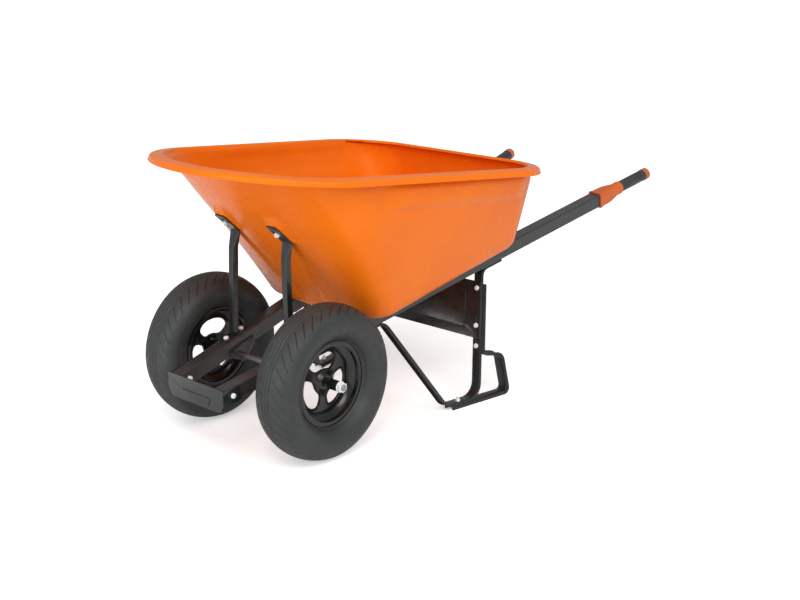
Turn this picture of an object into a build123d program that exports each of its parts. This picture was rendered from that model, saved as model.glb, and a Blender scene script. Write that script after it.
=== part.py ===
from build123d import *
import math
import os
from dataclasses import dataclass

# A dual-wheel wheelbarrow in millimetres. +X is the way it rolls, +Y is its left side, +Z is up.
# It is laid out from the ground point under the middle of the axle, and the export moves it so
# that the origin is on the ground under the middle of its bounding box.

# Wheels and axle
TYRE_R = 203.0
TYRE_WIDTH = 116.0
TYRE_WALL = 9.0
TRACK = 431.0
RIM_FLANGE_R = 112.0
RIM_SEAT_R = 101.5
RIM_WELL_R = 84.0
RIM_WIDTH = 58.0
RIM_SHEET = 2.5
RIM_DISC_INSET = 6.0
BEAD_GAP = 0.3
TUBE_GAP = 0.5
TUBE_WALL = 2.5
WINDOW_INNER_R = 34.0
WINDOW_OUTER_R = 76.0
WINDOW_SPAN_DEG = 84.0
WINDOW_CORNER_R = 12.0
WINDOW_LIP = 3.0
WINDOW_START_DEG = -90.0
SPOKES = 3
AXLE_R = 8.0
AXLE_SPARE = 3.58
HUB_R = 13.5
HUB_LENGTH = 108.0
BUSH_R = 11.0
BUSH_LENGTH = 24.0
BUSH_FLANGE_R = 13.0
BUSH_FLANGE = 2.0
RUNNING_GAP = 0.08
SIDE_PLAY = 0.4
WASHER_R = 15.0
WASHER_T = 2.5
AXLE_NUT_ACROSS = 24.0
AXLE_NUT_T = 10.0
VALVE_R = 4.0
VALVE_LENGTH = 34.0
VALVE_CAP_R = 5.2
VALVE_CAP_LENGTH = 12.0
VALVE_ANGLE_DEG = 300.0

# Rails: straight square tubes that run from the bumper to the grips, rising and spreading rearwards
RAIL_SIDE = 40.0
RAIL_WALL = 2.0
RAIL_CORNER_R = 4.0
RAIL_Y0 = 108.9
RAIL_SPREAD = 0.114
RAIL_Z0 = TYRE_R + 37.2
RAIL_RISE = 0.2
RAIL_FRONT_X = 236.0
FRONT_SPARE = 12.0
COLLAR_FRONT_X = -1190.0
COLLAR_REAR_X = -1306.0
COLLAR_WALL = 3.0
GRIP_CORE_R = 14.0
GRIP_R = 18.0
GRIP_REAR_X = -1424.0
GRIP_CAP_R = 19.0
HANDLE_END_X = -1446.0
CAP_PLUG_DEPTH = 20.0
CAP_LIP = 7.0
SLIP_GAP = 0.15

# Bumper across the front ends of the rails
BUMPER_T = 3.0
BUMPER_TOP_Z = RAIL_Z0 - 22.2
BUMPER_BOTTOM_Z = BUMPER_TOP_Z - 62
BUMPER_FLANGE_LENGTH = 54.0
BUMPER_PAD_HALF_TOP = 57.0
BUMPER_PAD_HALF_BOTTOM = 50.0
BUMPER_PAD_HEIGHT = 24.0
BUMPER_PAD_RAISE = 2.0
BUMPER_BOLT_BACK = 30.0

# Tray: a moulded tub with a turned-down lip
TRAY_WALL = 5.0
TRAY_FLOOR_R = 34.0
LIP_WIDTH = 22.0
LIP_HEIGHT = 19.0
LIP_T = 4.0
RIM_Z0 = RAIL_Z0 + 497.8
RIM_SLOPE = 0.1
MID_Z0 = RIM_Z0 - 160
MID_SLOPE = -0.04

# Braces from the rails, over the axle, up to the tray's front wall
BRACE_SIDE = 19.0
BRACE_WALL = 1.5
BRACE_TOP_Y = 97.0
BRACE_TOP_Z = RIM_Z0 - 191
BRACE_X = -1.0
BRACE_TAB_T = 4.0
BRACE_TAB_WIDTH = 36.0
BRACE_TAB_LENGTH = 74.0
BRACE_TAB_ANGLE_DEG = 42.0
BRACE_PRESSED_LENGTH = 44.0
BRACE_TAB_BOLT = 43.0
FRONT_WALL_GRIP = 12.8
FRONT_BOSS_R = 15.0
BRACE_FOOT_LENGTH = 92.0
BRACE_FOOT_WIDTH = 32.0
BRACE_FOOT_T = 4.0
BRACE_BOLT_SPACING = 58.0

# Axle brackets under the rails
BRACKET_T = 3.0
BRACKET_LENGTH = 96.0
BRACKET_EYE_R = 17.0

# Legs, wear guards and the plate between the legs
LEG_WIDTH = 26.0
LEG_DEPTH = 8.0
LEG_SHEET = 2.5
LEG_SPLAY = 0.32
LEG_PAD_FRONT_X = -232.0
LEG_TOP_FRONT_X = -297.0
FOOT_FRONT_X = -440.0
FOOT_REAR_X = -554.0
LEG_TOP_REAR_X = -671.0
LEG_PAD_REAR_X = -752.0
LEG_TOP_R = 34.0
FOOT_FRONT_R = 24.0
FOOT_REAR_R = 52.0
GUARD_WIDTH = 30.0
GUARD_DEPTH = 10.0
GUARD_SHEET = 3.0
GUARD_FRONT_X = -452.0
GUARD_BACK_LOW_X = -660.0
GUARD_BACK_HIGH_X = -668.0
GUARD_BACK_Z = 106.0
GUARD_NECK_Z = 122.0
GUARD_TOP_Z = RAIL_Z0 + 71.8
GUARD_BACK_R = 14.0
GUARD_NECK_R = 16.0
CROSS_T = 2.5
CROSS_TOP_Z = RAIL_Z0 + 77.8
CROSS_BOTTOM_Z = 166.0
CROSS_FLANGE = 16.0
CROSS_END_GAP = 1.0
CROSS_PAD_MARGIN = 26.0
CROSS_PAD_RAISE = 4.0
LEG_BOLT_Z = (GUARD_TOP_Z - 12, RAIL_Z0 - 40.2, GUARD_NECK_Z + 24)

# Fasteners
M8_R = 4.0
HOLE_GAP = 0.25
BOLT_HEAD_ACROSS = 13.0
BOLT_HEAD_T = 5.3
NUT_T = 6.5
CARRIAGE_HEAD_R = 10.0
CARRIAGE_HEAD_T = 4.0
TRAY_WASHER_R = 14.0
TRAY_WASHER_T = 2.0
TRAY_BOLT_X = (-256.0, -728.0)
SEAT_GAP = 0.02

SIDES = {"left": 1, "right": -1}


@dataclass
class Plan:
    """One level outline of the tray: a bowed nose, slightly spreading sides and a straight rear."""

    nose_x: float
    bow: float
    front_r: float
    side_y0: float
    side_spread: float
    rear_r: float
    rear_x: float


RIM_PLAN = Plan(235.0, 30.0, 250.0, 343.0, 0.07, 186.0, -811.0)
MID_PLAN = Plan(34.0, 48.0, 128.0, 290.0, 0.06, 128.0, -796.0)
FLOOR_PLAN = Plan(-204.0, 10.0, 62.0, 207.0, 0.06, 66.0, -792.0)
FLOOR_Z0 = RAIL_Z0 + RAIL_SIDE / 2 * math.hypot(1, RAIL_RISE)


def rail_y(x):
    return RAIL_Y0 - RAIL_SPREAD * x


def rail_z(x):
    return RAIL_Z0 - RAIL_RISE * x


def rail_bottom_z(x):
    return rail_z(x) - RAIL_SIDE / 2 * math.hypot(1, RAIL_RISE)


def rail_plane(x, side):
    """A plane across a rail at x: its normal runs rearwards along the rail and its x axis is outboard."""
    along = Vector(-1, side * RAIL_SPREAD, RAIL_RISE).normalized()
    up = Vector(RAIL_RISE, 0, 1).normalized()
    across = up.cross(along).normalized()
    outboard = across if across.Y * side > 0 else -across
    return Plane(origin=(x, side * rail_y(x), rail_z(x)), x_dir=outboard, z_dir=along)


def rail_run(x_from, x_to):
    """The length along a rail between two x positions."""
    return abs(x_to - x_from) * math.sqrt(1 + RAIL_SPREAD**2 + RAIL_RISE**2)


def mirrored(shape, side):
    return shape if side > 0 else mirror(shape, about=Plane.XZ)


# Outline of the tray at one level


def plan_points(plan, inset, slope):
    """Centres and radii of the nose, front corner and rear corner arcs, all moved inwards by inset."""
    stretch = math.hypot(1, slope)
    lean = math.hypot(1, plan.side_spread)
    front_x = plan.nose_x * stretch - plan.bow - plan.front_r
    front_y = plan.side_y0 - plan.side_spread * front_x - plan.front_r * lean
    bow_r = plan.front_r + plan.bow / 2 + front_y**2 / (2 * plan.bow)
    bow_x = plan.nose_x * stretch - bow_r
    rear_x = plan.rear_x * stretch + plan.rear_r
    rear_y = plan.side_y0 - plan.side_spread * rear_x - plan.rear_r * lean
    front, rear = plan.front_r - inset, plan.rear_r - inset
    return bow_x, bow_r - inset, front_x, front_y, front, rear_x, rear_y, rear


def arc_points(x, y, r, start, end):
    return [
        (x + r * math.cos(t), y + r * math.sin(t)) for t in (start, (start + end) / 2, end)
    ]


def plan_wire(plan, inset, height, slope):
    """The plan's outline, moved inwards by inset, on the plane z = height + slope * x."""
    bow_x, bow, fx, fy, front, rx, ry, rear = plan_points(plan, inset, slope)
    nose_turn = math.atan2(fy, fx - bow_x)
    side_turn = math.atan2(1, plan.side_spread)
    nose = arc_points(bow_x, 0, bow, -nose_turn, nose_turn)
    corner = arc_points(fx, fy, front, nose_turn, side_turn)
    back = arc_points(rx, ry, rear, side_turn, math.pi)
    edges = [
        ThreePointArc(*nose),
        ThreePointArc(*corner),
        Line(corner[2], back[0]),
        ThreePointArc(*back),
        Line(back[2], (back[2][0], -back[2][1])),
        ThreePointArc(*[(x, -y) for x, y in reversed(back)]),
        Line((back[0][0], -back[0][1]), (corner[2][0], -corner[2][1])),
        ThreePointArc(*[(x, -y) for x, y in reversed(corner)]),
    ]
    level = Plane(origin=(0, 0, height), x_dir=(1, 0, slope), z_dir=(-slope, 0, 1))
    return level.location * Wire(edges)


def tub(inset, floor_lift, top_z0, floor_r):
    """The tray's body as a solid, moved inwards by inset and up from the floor by floor_lift."""
    sections = [
        plan_wire(FLOOR_PLAN, inset, FLOOR_Z0 + floor_lift, -RAIL_RISE),
        plan_wire(MID_PLAN, inset, MID_Z0, MID_SLOPE),
        plan_wire(RIM_PLAN, inset + LIP_WIDTH, top_z0, RIM_SLOPE),
    ]
    body = Solid.make_loft(sections)
    floor = body.faces().sort_by(Axis.Z)[0]
    return body.fillet(floor_r, floor.edges())


def lip_prism(inset, bottom_z0, height):
    wire = plan_wire(RIM_PLAN, inset, bottom_z0, RIM_SLOPE)
    up = Vector(-RIM_SLOPE, 0, 1).normalized()
    return Solid.extrude(Face(wire), up * height)


def tray_bolt_axis(x, side):
    """A plane on the rail's top at x, its z axis up along the tray bolt."""
    return upright_axis(x, side, RAIL_SIDE / 2)


def brace_tab_plane(side):
    """The face that a brace's tab lies on: x runs up along the tab, z points out of the tray's wall."""
    angle = math.radians(BRACE_TAB_ANGLE_DEG)
    up_along = (math.cos(angle), 0, math.sin(angle))
    outwards = (math.sin(angle), 0, -math.cos(angle))
    return Plane(origin=(BRACE_X, side * BRACE_TOP_Y, BRACE_TOP_Z), x_dir=up_along, z_dir=outwards)


def make_tray():
    stretch = math.hypot(1, RIM_SLOPE)
    lip_low = RIM_Z0 - LIP_HEIGHT * stretch
    body = tub(0, 0, RIM_Z0 - LIP_T / 2, TRAY_FLOOR_R)
    lip = lip_prism(0, lip_low, LIP_HEIGHT)
    lip -= lip_prism(LIP_T, lip_low - 5, LIP_HEIGHT - LIP_T + 5)
    shell = body + lip
    for side in SIDES.values():
        pad_size = (BRACE_TAB_LENGTH + 2, BRACE_TAB_WIDTH + 6, TRAY_WALL * 3)
        centre = Location((BRACE_TAB_LENGTH / 2 + 2, 0, -TRAY_WALL * 1.5))
        shell += brace_tab_plane(side).location * centre * Box(*pad_size)
        seat = Box(BRACE_TAB_LENGTH * 2, BRACE_TAB_WIDTH + 6, TRAY_WALL * 2)
        shell -= brace_tab_plane(side).location * Pos(0, 0, TRAY_WALL) * seat
    shell -= tub(TRAY_WALL, TRAY_WALL, RIM_Z0 + LIP_T, TRAY_FLOOR_R - TRAY_WALL)
    for side in SIDES.values():
        for x in TRAY_BOLT_X:
            shell -= tray_bolt_axis(x, side).location * Cylinder(M8_R + HOLE_GAP, 40)
        spot = brace_tab_plane(side).location * Pos(BRACE_TAB_BOLT, 0, 0)
        boss_top = FRONT_WALL_GRIP - SEAT_GAP
        shell += spot * Pos(0, 0, -boss_top / 2 - 1) * Cylinder(FRONT_BOSS_R, boss_top - 2)
        shell -= spot * Cylinder(M8_R + HOLE_GAP, 60)
    return shell


# Rails and grips


def make_rail(side):
    """The square tube, necked down under the collar to the round tube that carries the grip."""
    neck_x = (COLLAR_FRONT_X + COLLAR_REAR_X) / 2
    neck_end_x = COLLAR_REAR_X + 12
    straight = rail_run(RAIL_FRONT_X, neck_x) + FRONT_SPARE
    neck_end = rail_run(RAIL_FRONT_X, neck_end_x) + FRONT_SPARE
    end = rail_run(RAIL_FRONT_X, HANDLE_END_X) - CAP_LIP + FRONT_SPARE
    layers = []
    for shrink in (0, RAIL_WALL):
        outer = RectangleRounded(RAIL_SIDE - 2 * shrink, RAIL_SIDE - 2 * shrink, RAIL_CORNER_R - shrink)
        core = Circle(GRIP_CORE_R - shrink)
        bar = extrude(outer, straight)
        bar += loft([Plane.XY.offset(straight) * outer, Plane.XY.offset(neck_end) * core])
        bar += extrude(Plane.XY.offset(neck_end) * core, end - neck_end)
        layers.append(bar)
    tube = rail_plane(RAIL_FRONT_X, side).location * Pos(0, 0, -FRONT_SPARE) * (layers[0] - layers[1])
    tube -= Pos(RAIL_FRONT_X + 50, 0, RAIL_Z0) * Box(100, 4 * RAIL_Y0, 4 * RAIL_SIDE)
    for x, direction in rail_holes():
        tube -= rail_hole(x, side, direction)
    return tube


def rail_holes():
    """Positions along a rail of its bolt holes, and whether each goes up through it or across it."""
    upright = [*brace_bolts_x(), *TRAY_BOLT_X]
    return [(x, "up") for x in upright] + [(bumper_bolt_x(), "across")]


def bumper_bolt_x():
    return RAIL_FRONT_X - BUMPER_BOLT_BACK


def rail_hole(x, side, direction):
    cut = Cylinder(M8_R + HOLE_GAP, RAIL_SIDE * 1.6)
    if direction == "across":
        return rail_plane(x, side).location * Rotation(0, 90, 0) * cut
    return rail_plane(x, side).location * Rotation(90, 0, 0) * cut


def upright_axis(x, side, height):
    """A plane at x square to the rail's top, its z axis up, height above the rail's middle."""
    base = rail_plane(x, side)
    up = Vector(RAIL_RISE, 0, 1).normalized()
    return Plane(origin=base.origin + up * height, x_dir=base.z_dir, z_dir=up)


def across_axis(x, side, reach):
    """A plane at x square to the rail's outer side, its z axis outboard, reach from the rail's middle."""
    base = rail_plane(x, side)
    return Plane(origin=base.origin + base.x_dir * reach, x_dir=base.z_dir, z_dir=base.x_dir)


def make_collar(side):
    """The moulded sleeve that carries the square rail's outline down to the round grip."""
    length = rail_run(COLLAR_FRONT_X, COLLAR_REAR_X)
    inner = RAIL_SIDE / 2 + SLIP_GAP
    outer = 2 * (inner + COLLAR_WALL)
    square = RectangleRounded(outer, outer, RAIL_CORNER_R + COLLAR_WALL)
    middle = RectangleRounded(outer * 0.96, outer * 0.96, outer * 0.22)
    end = Circle(GRIP_R + 1.5)
    levels = [(0, square), (length * 0.42, middle), (length, end)]
    body = loft([Plane.XY.offset(h) * shape for h, shape in levels])
    neck = rail_run(COLLAR_FRONT_X, (COLLAR_FRONT_X + COLLAR_REAR_X) / 2)
    neck_end = rail_run(COLLAR_FRONT_X, COLLAR_REAR_X + 12)
    bore = RectangleRounded(2 * inner, 2 * inner, RAIL_CORNER_R + SLIP_GAP)
    core = Circle(GRIP_CORE_R + SLIP_GAP)
    hollow = extrude(Plane.XY.offset(-1) * bore, neck + 1)
    hollow += loft([Plane.XY.offset(neck) * bore, Plane.XY.offset(neck_end) * core])
    hollow += extrude(Plane.XY.offset(neck_end) * core, length - neck_end + 1)
    return rail_plane(COLLAR_FRONT_X, side).location * (body - hollow)


def make_grip(side):
    length = rail_run(COLLAR_REAR_X, GRIP_REAR_X)
    profile = Cylinder(GRIP_R, length, align=(Align.CENTER, Align.CENTER, Align.MIN))
    profile = fillet(profile.edges().filter_by(GeomType.CIRCLE), 1.5)
    profile -= Cylinder(GRIP_CORE_R + SLIP_GAP, length * 3)
    return rail_plane(COLLAR_REAR_X, side).location * profile


def make_cap(side):
    """The end cap: a domed ring over the grip's end, with a plug in the tube."""
    full = rail_run(GRIP_REAR_X, HANDLE_END_X)
    body = Cylinder(GRIP_CAP_R, full, align=(Align.CENTER, Align.CENTER, Align.MIN))
    body = fillet(body.edges().filter_by(GeomType.CIRCLE).sort_by(Axis.Z)[-1], 5)
    hollow_depth = full - CAP_LIP + SLIP_GAP
    body -= Pos(0, 0, hollow_depth / 2 - 0.5) * Cylinder(GRIP_CORE_R + SLIP_GAP, hollow_depth + 1)
    plug_length = CAP_PLUG_DEPTH + CAP_LIP
    plug = Cylinder(GRIP_CORE_R - RAIL_WALL - SLIP_GAP, plug_length)
    body += Pos(0, 0, full - 1 - plug_length / 2) * plug
    return rail_plane(GRIP_REAR_X, side).location * body


# Bumper


def bumper_flange_reach():
    return RAIL_SIDE / 2 + SLIP_GAP


def make_bumper():
    """A plate over the rails' front ends, narrower below, whose sides turn back along the rails."""
    front = RAIL_FRONT_X + 0.3
    lean = math.hypot(1, RAIL_SPREAD)
    half_top = rail_y(RAIL_FRONT_X) + (bumper_flange_reach() + BUMPER_T) * lean
    half_bottom = half_top - 14
    face = Polyline(
        (half_top, BUMPER_TOP_Z),
        (half_top, BUMPER_TOP_Z - 34),
        (half_bottom, BUMPER_BOTTOM_Z),
        (-half_bottom, BUMPER_BOTTOM_Z),
        (-half_top, BUMPER_TOP_Z - 34),
        (-half_top, BUMPER_TOP_Z),
        close=True,
    )
    sheet = Plane(origin=(front, 0, 0), x_dir=(0, 1, 0), z_dir=(1, 0, 0))
    outline = make_face(face)
    outline = fillet(outline.vertices().group_by(Axis.Y)[0], 12)
    plate = sheet.location * extrude(outline, BUMPER_T)
    pad = Polyline(
        (BUMPER_PAD_HALF_TOP, BUMPER_PAD_HEIGHT / 2),
        (BUMPER_PAD_HALF_BOTTOM, -BUMPER_PAD_HEIGHT / 2),
        (-BUMPER_PAD_HALF_BOTTOM, -BUMPER_PAD_HEIGHT / 2),
        (-BUMPER_PAD_HALF_TOP, BUMPER_PAD_HEIGHT / 2),
        close=True,
    )
    pad_face = make_face(pad)
    pad_face = fillet(pad_face.vertices(), 7)
    pad_z = (BUMPER_TOP_Z + BUMPER_BOTTOM_Z) / 2 - 13
    plate += sheet.location * Pos(0, pad_z, 0) * extrude(pad_face, BUMPER_T + BUMPER_PAD_RAISE)
    for side in SIDES.values():
        plate += bumper_flange(side, front + BUMPER_T)
    return plate


def bumper_flange(side, front):
    back = RAIL_FRONT_X - BUMPER_FLANGE_LENGTH
    reach = bumper_flange_reach() + BUMPER_T / 2
    base = rail_plane(RAIL_FRONT_X, side)
    flange = Box(BUMPER_T, RAIL_SIDE, BUMPER_FLANGE_LENGTH + BUMPER_T * 2)
    middle = (rail_run(RAIL_FRONT_X, back) - BUMPER_T * 2) / 2
    solid = base.location * Pos(reach, 0, middle) * flange
    solid -= Pos(front + 50, 0, 200) * Box(100, 400, 400)
    return solid - rail_hole(bumper_bolt_x(), side, "across")


# Fasteners: each stands on a plane whose z axis points out of its head


def hex_prism(across, thickness):
    return extrude(RegularPolygon(across / 2, 6, major_radius=False, rotation=30), thickness)


def hex_head():
    return hex_prism(BOLT_HEAD_ACROSS, BOLT_HEAD_T)


def carriage_head():
    head = Cylinder(CARRIAGE_HEAD_R, CARRIAGE_HEAD_T, align=(Align.CENTER, Align.CENTER, Align.MIN))
    return fillet(head.edges().filter_by(GeomType.CIRCLE).sort_by(Axis.Z)[-1], CARRIAGE_HEAD_T * 0.7)


def bolt(plane, head, length):
    shank = Cylinder(M8_R, length, align=(Align.CENTER, Align.CENTER, Align.MAX))
    return plane.location * (head + shank)


def nut(plane, across=BOLT_HEAD_ACROSS, thickness=NUT_T, bore=M8_R):
    """A nut or washer under the plane, its top face on it."""
    body = hex_prism(across, thickness) - Cylinder(bore + SEAT_GAP, thickness * 3)
    return plane.location * Pos(0, 0, -thickness) * body


def washer(plane, radius, thickness, bore):
    body = Cylinder(radius, thickness, align=(Align.CENTER, Align.CENTER, Align.MIN))
    return plane.location * (body - Cylinder(bore, thickness * 3))


# Braces


def brace_x():
    return BRACE_X + BRACE_SIDE / 2


def brace_bolts_x():
    return [brace_x() + BRACE_BOLT_SPACING / 2, brace_x() - BRACE_BOLT_SPACING / 2]


def make_brace():
    """The left brace: a foot plate on the rail, a square tube, and its top pressed flat and bent over."""
    foot_plane = upright_axis(brace_x(), 1, RAIL_SIDE / 2)
    foot = Box(BRACE_FOOT_LENGTH, BRACE_FOOT_WIDTH, BRACE_FOOT_T, align=(Align.CENTER, Align.CENTER, Align.MIN))
    foot = fillet(foot.edges().filter_by(Axis.Z), 6)
    low = foot_plane.origin + foot_plane.z_dir * (BRACE_FOOT_T - 1)
    high = Vector(brace_x(), BRACE_TOP_Y, BRACE_TOP_Z)
    rise = high - low
    post = Plane(origin=low, x_dir=(1, 0, 0), z_dir=rise.normalized())
    tube_end = rise.length - BRACE_PRESSED_LENGTH
    ring = RectangleRounded(BRACE_SIDE, BRACE_SIDE, 2.5)
    ring -= RectangleRounded(BRACE_SIDE - 2 * BRACE_WALL, BRACE_SIDE - 2 * BRACE_WALL, 1)
    tube = extrude(ring, tube_end)
    flat_x = (BRACE_TAB_T - BRACE_SIDE) / 2
    pressed = loft(
        [
            Plane.XY.offset(tube_end) * RectangleRounded(BRACE_SIDE, BRACE_SIDE, 2.5),
            Plane.XY.offset(rise.length) * Pos(flat_x, 0) * RectangleRounded(BRACE_TAB_T, BRACE_TAB_WIDTH, 1.5),
        ]
    )
    tab = Box(BRACE_TAB_LENGTH + 2, BRACE_TAB_WIDTH, BRACE_TAB_T, align=(Align.MIN, Align.CENTER, Align.MIN))
    tab = fillet(tab.edges().filter_by(Axis.Z).sort_by(Axis.X)[-2:], 5)
    tab = brace_tab_plane(1).location * Pos(-2, 0, 0) * tab
    brace = foot_plane.location * foot + post.location * (tube + pressed) + tab
    for x in brace_bolts_x():
        brace -= rail_hole(x, 1, "up")
    bolt_spot = brace_tab_plane(1).location * Pos(BRACE_TAB_BOLT, 0, 0)
    return brace - bolt_spot * Cylinder(M8_R + HOLE_GAP, 30)


# Axle brackets and axle


def make_bracket():
    """The left saddle: a U plate under the rail whose cheeks reach down round the axle."""
    frame = upright_axis(brace_x(), 1, 0)
    half = RAIL_SIDE / 2 + SLIP_GAP
    low = RAIL_SIDE / 2 + SEAT_GAP
    base = Box(BRACKET_LENGTH, 2 * half, BRACKET_T, align=(Align.CENTER, Align.CENTER, Align.MAX))
    saddle = frame.location * Pos(0, 0, -low) * base
    axle = frame.to_local_coords(Vector(0, rail_y(0), TYRE_R))
    end = BRACKET_LENGTH / 2
    outline = Polyline(
        (-end, 0),
        (end, 0),
        (end, -low - BRACKET_T),
        (axle.X + BRACKET_EYE_R, axle.Z - BRACKET_EYE_R * 0.4),
        (axle.X + BRACKET_EYE_R * 0.4, axle.Z - BRACKET_EYE_R),
        (axle.X - BRACKET_EYE_R * 0.4, axle.Z - BRACKET_EYE_R),
        (axle.X - BRACKET_EYE_R, axle.Z - BRACKET_EYE_R * 0.4),
        (-end, -low - BRACKET_T),
        close=True,
    )
    cheek = fillet(make_face(outline).vertices(), 4)
    for y in (half, -half - BRACKET_T):
        sheet = Plane(origin=(0, y, 0), x_dir=(1, 0, 0), z_dir=(0, 1, 0))
        flipped = mirror(cheek, about=Plane.XZ)
        saddle += frame.location * sheet.location * extrude(flipped, BRACKET_T)
    saddle -= axle_bore(AXLE_R + SEAT_GAP)
    for x in brace_bolts_x():
        saddle -= rail_hole(x, 1, "up")
    return saddle


def axle_bore(radius):
    return Pos(0, 0, TYRE_R) * Rotation(90, 0, 0) * Cylinder(radius, 4 * axle_end())


def make_axle():
    rod = Rotation(90, 0, 0) * Cylinder(AXLE_R, 2 * axle_end())
    rod = chamfer(rod.edges().filter_by(GeomType.CIRCLE), 1.2)
    return Pos(0, 0, TYRE_R) * rod


def axle_plane(y, side):
    """A plane square to the axle at y on one side, its z axis outboard."""
    return Plane(origin=(0, side * y, TYRE_R), x_dir=(1, 0, 0), z_dir=(0, side, 0))


def hub_end():
    return TRACK / 2 + HUB_LENGTH / 2 + BUSH_FLANGE


def hub_start():
    return TRACK / 2 - HUB_LENGTH / 2 - BUSH_FLANGE


def axle_end():
    """How far out each end of the axle reaches, a little past its nut."""
    return hub_end() + SIDE_PLAY + WASHER_T + SEAT_GAP + AXLE_NUT_T + AXLE_SPARE


def make_spacer(side):
    inner = rail_y(0) + (RAIL_SIDE / 2 + SLIP_GAP + BRACKET_T) * math.hypot(1, RAIL_SPREAD) + 2.5
    length = hub_start() - SIDE_PLAY - inner
    return washer(axle_plane(inner, side), AXLE_R + 4, length, AXLE_R + SEAT_GAP)


def make_axle_washer(side):
    return washer(axle_plane(hub_end() + SIDE_PLAY, side), WASHER_R, WASHER_T, AXLE_R + SEAT_GAP)


def make_axle_nut(side):
    top = hub_end() + SIDE_PLAY + WASHER_T + SEAT_GAP + AXLE_NUT_T
    return nut(axle_plane(top, side), AXLE_NUT_ACROSS, AXLE_NUT_T, AXLE_R)


# Wheels, made about the Y axis at the origin with +Y outboard, then set on the axle


def strip_points(points, thickness):
    """The points of a strip with one edge along points and the other thickness to their right."""
    far = []
    for i, (x, y) in enumerate(points):
        before = points[max(i - 1, 0)]
        after = points[min(i + 1, len(points) - 1)]
        back = (Vector(x, y) - Vector(*before)).normalized() if i else None
        ahead = (Vector(*after) - Vector(x, y)).normalized() if i < len(points) - 1 else back
        back = back or ahead
        bisector = (back + ahead).normalized()
        reach = thickness / bisector.dot(back)
        far.append((x + bisector.Y * reach, y - bisector.X * reach))
    return far


def make_tyre():
    """A tyre: a bulged carcass with a crowned tread, its beads on the rim's seats."""
    half, wall = TYRE_WIDTH / 2, TYRE_WALL
    bead_r = RIM_SEAT_R + BEAD_GAP
    bead_y = RIM_WIDTH / 2 - RIM_SHEET - BEAD_GAP
    flange_r = RIM_FLANGE_R + 1
    bulge_r = (TYRE_R + RIM_FLANGE_R) / 2
    shoulder = (TYRE_R - 11, half - 14)
    low = (flange_r + 4, bead_y + 5)
    toe = bead_y - 8
    outline = [
        Line((bead_r, toe), (bead_r, bead_y)),
        Line((bead_r, bead_y), (flange_r, bead_y)),
        Line((flange_r, bead_y), low),
        ThreePointArc(low, (bulge_r, half), shoulder),
        ThreePointArc(shoulder, (TYRE_R, 0), (shoulder[0], -shoulder[1])),
        ThreePointArc((shoulder[0], -shoulder[1]), (bulge_r, -half), (low[0], -low[1])),
        Line((low[0], -low[1]), (flange_r, -bead_y)),
        Line((flange_r, -bead_y), (bead_r, -bead_y)),
        Line((bead_r, -bead_y), (bead_r, -toe)),
        Line((bead_r, -toe), (flange_r, -toe)),
    ]
    inner_low, inner_high = (flange_r + 11, toe + 5), (shoulder[0] - wall, shoulder[1] - wall * 0.7)
    outline += [
        Line((flange_r, -toe), (inner_low[0], -inner_low[1])),
        ThreePointArc((inner_low[0], -inner_low[1]), (bulge_r, wall - half), (inner_high[0], -inner_high[1])),
        ThreePointArc((inner_high[0], -inner_high[1]), (TYRE_R - wall - 1, 0), inner_high),
        ThreePointArc(inner_high, (bulge_r, half - wall), inner_low),
        Line(inner_low, (flange_r, toe)),
        Line((flange_r, toe), (bead_r, toe)),
    ]
    return revolve(make_face(Wire(outline)), Axis.Y)


def make_inner_tube():
    """The hollow ring inside the tyre, with its valve stem through the rim."""
    centre_r = (TYRE_R - TYRE_WALL + RIM_FLANGE_R) / 2 + 3
    half_r = (TYRE_R - TYRE_WALL - RIM_FLANGE_R) / 2 - 6
    half_y = TYRE_WIDTH / 2 - TYRE_WALL - 6
    tube = revolve(Pos(centre_r, 0) * Ellipse(half_r, half_y), Axis.Y)
    tube -= revolve(Pos(centre_r, 0) * Ellipse(half_r - TUBE_WALL, half_y - TUBE_WALL), Axis.Y)
    foot_r = centre_r - half_r + TUBE_WALL / 2
    stem = Cylinder(VALVE_R, VALVE_LENGTH, align=(Align.CENTER, Align.CENTER, Align.MAX))
    stem = Pos(0, 0, foot_r) * stem
    return tube + Rotation(0, VALVE_ANGLE_DEG, 0) * stem


def make_valve_cap():
    centre_r = (TYRE_R - TYRE_WALL + RIM_FLANGE_R) / 2 + 3
    half_r = (TYRE_R - TYRE_WALL - RIM_FLANGE_R) / 2 - 6
    stem_end = centre_r - half_r + TUBE_WALL / 2 - VALVE_LENGTH
    cap = Cylinder(VALVE_CAP_R, VALVE_CAP_LENGTH)
    cap = fillet(cap.edges().filter_by(GeomType.CIRCLE).sort_by(Axis.Z)[0], 1.5)
    cap -= Pos(0, 0, VALVE_CAP_LENGTH / 2) * Cylinder(VALVE_R + SEAT_GAP, 2 * (VALVE_CAP_LENGTH - 3))
    cap = Pos(0, 0, stem_end - 3.1 + VALVE_CAP_LENGTH / 2) * cap
    return Rotation(0, VALVE_ANGLE_DEG, 0) * cap


def window_face(grow):
    """One bean-shaped window of the wheel's disc, widened all round by grow."""
    inner, outer = WINDOW_INNER_R - grow, WINDOW_OUTER_R + grow
    middle = (inner + outer) / 2
    half = math.radians(WINDOW_SPAN_DEG / 2) + grow / middle
    low = arc_points(0, 0, inner, -half, half)
    high = arc_points(0, 0, outer, half, -half)
    edges = [
        ThreePointArc(*low),
        Line(low[2], high[0]),
        ThreePointArc(*high),
        Line(high[2], low[0]),
    ]
    face = make_face(Wire(edges))
    return fillet(face.vertices(), WINDOW_CORNER_R + grow)


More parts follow.
